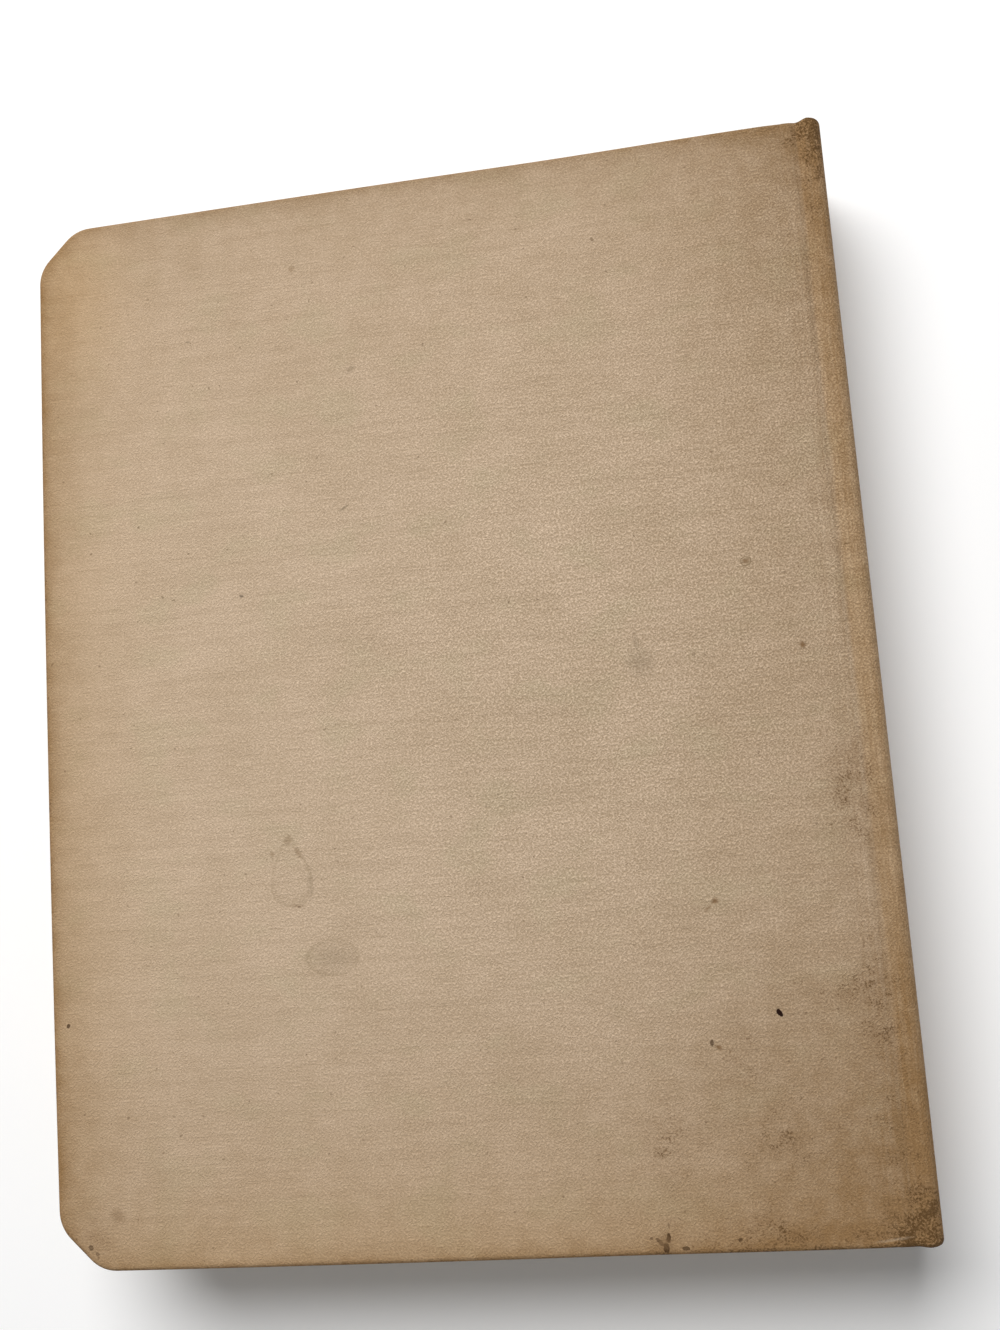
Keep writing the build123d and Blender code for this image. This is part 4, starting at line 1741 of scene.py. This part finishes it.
@dataclass
class TextBlock:
    """The pages, as layers whose edges don't quite line up, bent out into shoulders at the spine."""

    sizes: BookSizes
    outline: LeafOutline
    margin: float = 3.0
    layers: int = 66
    columns: int = 52
    rows: int = 30
    crowd: float = 2.4
    stray: float = 0.10
    section_share: float = 0.5
    wave_share: float = 0.3
    fewest_waves: int = 3
    most_waves: int = 8
    held_from: float = 6.0
    held_to: float = 1.0
    sections: int = 14
    shoulder_start: float = 2.55
    shoulder_end: float = 1.5
    shoulder_rise: float = 1.95
    seed: int = 7

    def half_depth(self, x: Array) -> Array:
        """Half the pages' thickness: even, with a smooth rise to the shoulders by the spine.

        Args:
            x: Places along X.

        Returns:
            Half thicknesses in millimetres.
        """
        book = self.sizes
        plain = book.page_top - book.middle
        crest = book.hinge_rise + self.shoulder_rise - book.middle
        rise = smooth(x, book.hinge - self.shoulder_start, book.hinge - self.shoulder_end)
        return plain + (crest - plain) * rise

    def insets(self, count: int) -> Array:
        """How far each layer's edge lies inside the outline: random by leaf, by section, and wavy along it.

        Args:
            count: Points round the pages.

        Returns:
            Insets, (layers, count).
        """
        draw = np.random.default_rng(self.seed)
        layer = draw.uniform(0.0, self.stray, (self.layers, 1))
        place = np.linspace(0.0, self.sections * math.pi, self.layers)[:, None]
        section = self.section_share * self.stray * (1.0 - np.abs(np.sin(place)))
        round_trip = np.linspace(0.0, 2.0 * math.pi, count, endpoint=False)[None, :]
        waves = draw.integers(self.fewest_waves, self.most_waves + 1, (self.layers, 1))
        phase = draw.uniform(0.0, 2.0 * math.pi, (self.layers, 1))
        wave = self.wave_share * self.stray * (1.0 + np.sin(waves * round_trip + phase))
        return layer + section + wave

    def build(self) -> bpy.types.Object:
        """Stacks the layers between two faces.

        Returns:
            The pages.
        """
        book = self.sizes
        draft = MeshDraft("pages")
        leaf = self.outline.inset(self.margin, book.hinge).grid(self.columns, self.rows, self.crowd)
        loop = rim_of(leaf)
        out = outward(loop)
        held = smooth(loop[:, 0], book.hinge - self.held_from, book.hinge - self.held_to)
        insets = np.repeat(self.insets(len(loop)), 2, axis=0) * (1.0 - held)
        bare = np.zeros((1, len(loop)))
        insets = np.concatenate([bare, insets, bare])
        edges = np.linspace(-1.0, 1.0, self.layers + 1)
        steps = np.stack([edges[:-1], edges[1:]], axis=1).reshape(-1)
        level = np.concatenate([[-1.0], steps, [1.0]])[:, None]
        across = loop - out * insets[..., None]
        z = book.middle + level * self.half_depth(across[..., 0])
        draft.add(closed(np.concatenate([across, z[..., None]], axis=-1)))
        rise = self.half_depth(leaf[..., 0])[..., None]
        draft.add(np.concatenate([leaf, book.middle + rise], axis=-1))
        draft.add(np.concatenate([leaf, book.middle - rise], axis=-1), turned=True)
        return draft.build(sharp=30.0)

    def dress(self, piece: bpy.types.Object) -> None:
        """Gives the pages their material and ties them to their body.

        Args:
            piece: The pages.
        """
        piece.data.materials.append(PageEdgeFinish().make("page_edges"))
        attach(piece, "text_block")
        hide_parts("text_block")


@dataclass
class SpineBand:
    """Small rolled band at one end of the pages' spine, wound with thread."""

    sizes: BookSizes
    end: BookEnd
    rib_pitch: float = 0.75
    rib_depth: float = 0.10
    slant: float = 0.5
    steps: int = 18
    rows: int = 216

    def build(self) -> bpy.types.Object:
        """Carries a half ellipse along Z, ribbed by the size of a sine, and closes both ends.

        Returns:
            The band.
        """
        node = "head_band" if self.end is BookEnd.HEAD else "tail_band"
        low, high = node_box(node)
        draft = MeshDraft(node + "_wound")
        wide = (high[0] - low[0]) / 2
        middle = (high[0] + low[0]) / 2
        tall = high[1] - low[1]
        turn = np.linspace(0.0, math.pi, self.steps)[None, :]
        z = np.linspace(low[2], high[2], self.rows)[:, None]
        rib = np.abs(np.sin(math.pi * z / self.rib_pitch + self.slant * turn))
        size = 1.0 - self.rib_depth * (1.0 - rib)
        x = middle + wide * np.cos(turn) * size
        rise = tall * np.sin(turn) * size
        y = low[1] + rise if self.end is BookEnd.HEAD else high[1] - rise
        grid = closed(np.stack([x, y, z + 0 * x], axis=-1))
        ends = grid.mean(axis=1, keepdims=True) + 0 * grid
        grid = np.concatenate([ends[:1], grid, ends[-1:]])
        around = np.linspace(0.0, math.pi * tall, grid.shape[1])
        flat = np.stack([np.broadcast_to(around, grid.shape[:2]), grid[..., 2]], axis=-1)
        draft.add(grid, flat, turned=self.end is BookEnd.TAIL)
        return draft.build(sharp=60.0)

    def dress(self, piece: bpy.types.Object) -> None:
        """Gives the band its material and ties it to the pages.

        Args:
            piece: The band.
        """
        piece.data.materials.append(BandFinish().make(piece.name))
        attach(piece, "text_block")
        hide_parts("head_band" if self.end is BookEnd.HEAD else "tail_band")


@dataclass
class HiddenParts:
    """The frame's own solids that stay as they are: boards, mull, lining and spine card."""

    boards: tuple[str, ...] = ("back_board", "front_board")
    mulls: tuple[str, ...] = ("spine_mull", "back_mull_flap", "front_mull_flap")

    def dress(self) -> None:
        """Gives each solid its material."""
        pulp = PulpFinish(pale=(0.27, 0.245, 0.21), dark=(0.16, 0.14, 0.115)).make("grey_board")
        card = PulpFinish(pale=(0.34, 0.27, 0.19), dark=(0.22, 0.165, 0.11)).make("spine_card")
        mull = WovenFinish().make("starched_mull")
        brown_paper = PaperFinish(clean=(0.40, 0.27, 0.14), aged=(0.30, 0.19, 0.09), on_sheet=False)
        lining = brown_paper.make("brown_lining")
        chosen = {**dict.fromkeys(self.boards, pulp), **dict.fromkeys(self.mulls, mull)}
        chosen.update({"spine_lining": lining, "spine_strip": card})
        for name, material in chosen.items():
            mesh = frame["nodes"][name].data
            mesh.materials.clear()
            mesh.materials.append(material)
            LOG.info("%s keeps its CAD shape", name)


@dataclass
class Studio:
    """White floor, one large soft lamp over the head of the book, even fill, and the camera."""

    key_place: tuple = (-0.285, 0.88, 1.35)
    key_wide: float = 1.40
    key_tall: float = 1.05
    key_power: float = 29.0
    fill: float = 0.20
    floor_half: float = 6.0
    floor_drop: float = 0.05
    floor_white: float = 0.98
    near_glow: float = 0.03
    near_reach: float = 0.22
    far_glow: float = 1.0
    far_reach: float = 0.9
    camera_place: tuple = (0.0575, -0.0439, 0.3306)
    camera_forward: tuple = (-0.1502, 0.1568, -0.9761)
    camera_up: tuple = (0.0933, 0.9851, 0.1439)
    focal_length: float = 39.33
    sensor: float = 36.0
    clip_start: float = 0.01

    def add_camera(self) -> None:
        """Places the camera and makes it the scene's."""
        lens = bpy.data.cameras.new("camera")
        lens.lens = self.focal_length
        lens.sensor_width = self.sensor
        lens.clip_start = self.clip_start
        camera = bpy.data.objects.new("camera", lens)
        back = -Vector(self.camera_forward).normalized()
        right = Vector(self.camera_up).cross(back).normalized()
        turn = Matrix((right, back.cross(right), back)).transposed()
        camera.matrix_world = Matrix.Translation(self.camera_place) @ turn.to_4x4()
        bpy.context.scene.collection.objects.link(camera)
        bpy.context.scene.camera = camera

    def add_key(self) -> None:
        """Hangs the soft lamp, aimed at the book."""
        lamp = bpy.data.lights.new("key", "AREA")
        lamp.shape = "ELLIPSE"
        lamp.size = self.key_wide
        lamp.size_y = self.key_tall
        lamp.energy = self.key_power
        key = bpy.data.objects.new("key", lamp)
        place = Vector(self.key_place)
        key.location = place
        key.rotation_mode = "QUATERNION"
        key.rotation_quaternion = (-place).to_track_quat("-Z", "Y")
        bpy.context.scene.collection.objects.link(key)

    @staticmethod
    def seen_directly(tree: bpy.types.NodeTree) -> Socket:
        """1 for rays from the camera, a reflection or a refraction, and 0 for light that falls on things.

        Args:
            tree: The node tree that gets the nodes.

        Returns:
            The number's socket.
        """
        path = tree.nodes.new("ShaderNodeLightPath")
        total = path.outputs["Is Camera Ray"]
        for name in ("Is Glossy Ray", "Is Transmission Ray"):
            larger = tree.nodes.new("ShaderNodeMath")
            larger.operation = "MAXIMUM"
            tree.links.new(total, larger.inputs[0])
            tree.links.new(path.outputs[name], larger.inputs[1])
            total = larger.outputs[0]
        return total

    def add_fill(self) -> None:
        """Sets even light all round, which looks white where it is seen directly."""
        world = bpy.data.worlds.new("fill")
        world.use_nodes = True
        bpy.context.scene.world = world
        tree = world.node_tree
        background = tree.nodes["Background"]
        background.inputs["Color"].default_value = (1.0, 1.0, 1.0, 1.0)
        level = tree.nodes.new("ShaderNodeMapRange")
        level.inputs["To Min"].default_value = self.fill
        level.inputs["To Max"].default_value = 1.0
        tree.links.new(self.seen_directly(tree), level.inputs["Value"])
        tree.links.new(level.outputs[0], background.inputs["Strength"])

    def add_floor(self) -> None:
        """Lays a white floor that keeps the book's shadow and fades to plain white further out."""
        draft = MeshDraft("floor")
        half = self.floor_half / MM
        side = np.linspace(-half, half, 2)
        x, y = np.meshgrid(side, side)
        draft.add(np.stack([x, y, np.full_like(x, -self.floor_drop)], axis=-1))
        floor = draft.build()
        pad = NodePad("white_floor")
        tree = pad.tree
        paint = pad.add("BsdfDiffuse", {"Color": (self.floor_white,) * 3 + (1.0,)})
        place = pad.add("TexCoord").outputs["Object"]
        away = pad.add("VectorMath", {0: place}, operation="LENGTH").outputs["Value"]
        glow = pad.ease(away, self.near_reach, self.far_reach, self.near_glow, self.far_glow)
        shown = pad.math("MULTIPLY", glow, self.seen_directly(tree))
        white = pad.add("Emission", {"Strength": shown})
        both = pad.add("AddShader", {0: paint.outputs[0], 1: white.outputs[0]})
        tree.links.new(both.outputs[0], tree.nodes["Material Output"].inputs["Surface"])
        tree.nodes.remove(pad.shader)
        floor.data.materials.append(pad.material)

    def build(self) -> None:
        """Sets up the whole studio."""
        bpy.context.scene.view_settings.view_transform = "Standard"
        self.add_camera()
        self.add_key()
        self.add_fill()
        self.add_floor()


def main() -> None:
    """Builds and dresses every piece."""
    logging.basicConfig(level=logging.INFO, format="%(name)s: %(message)s")
    Studio().build()
    book = BookSizes.read()
    outline = LeafOutline(
        book.fore, book.cover_spine, book.half, book.corner_cut, book.corner_round, book.spine_corner
    )
    spine = SpineCloth(book)
    bowed = replace(
        outline, fore_bow=0.6, end_bow=0.3, head_flare=spine.head_flare, tail_flare=spine.tail_flare
    )
    case = spine.case
    cloth = ClothFinish().make("cover_cloth", BACK_MARKS)
    spine.dress(spine.build(), cloth)
    makers: list[Any] = [TextBlock(book, outline)]
    makers += [SpineBand(book, end) for end in BookEnd]
    for side in CoverSide:
        cover = CoverCloth(case, side, bowed, cloth)
        makers += [cover, JointCloth(case, cover, spine), Endpaper(book, side, outline)]
    for maker in makers:
        maker.dress(maker.build())
    HiddenParts().dress()


if __name__ == "__main__":
    main()
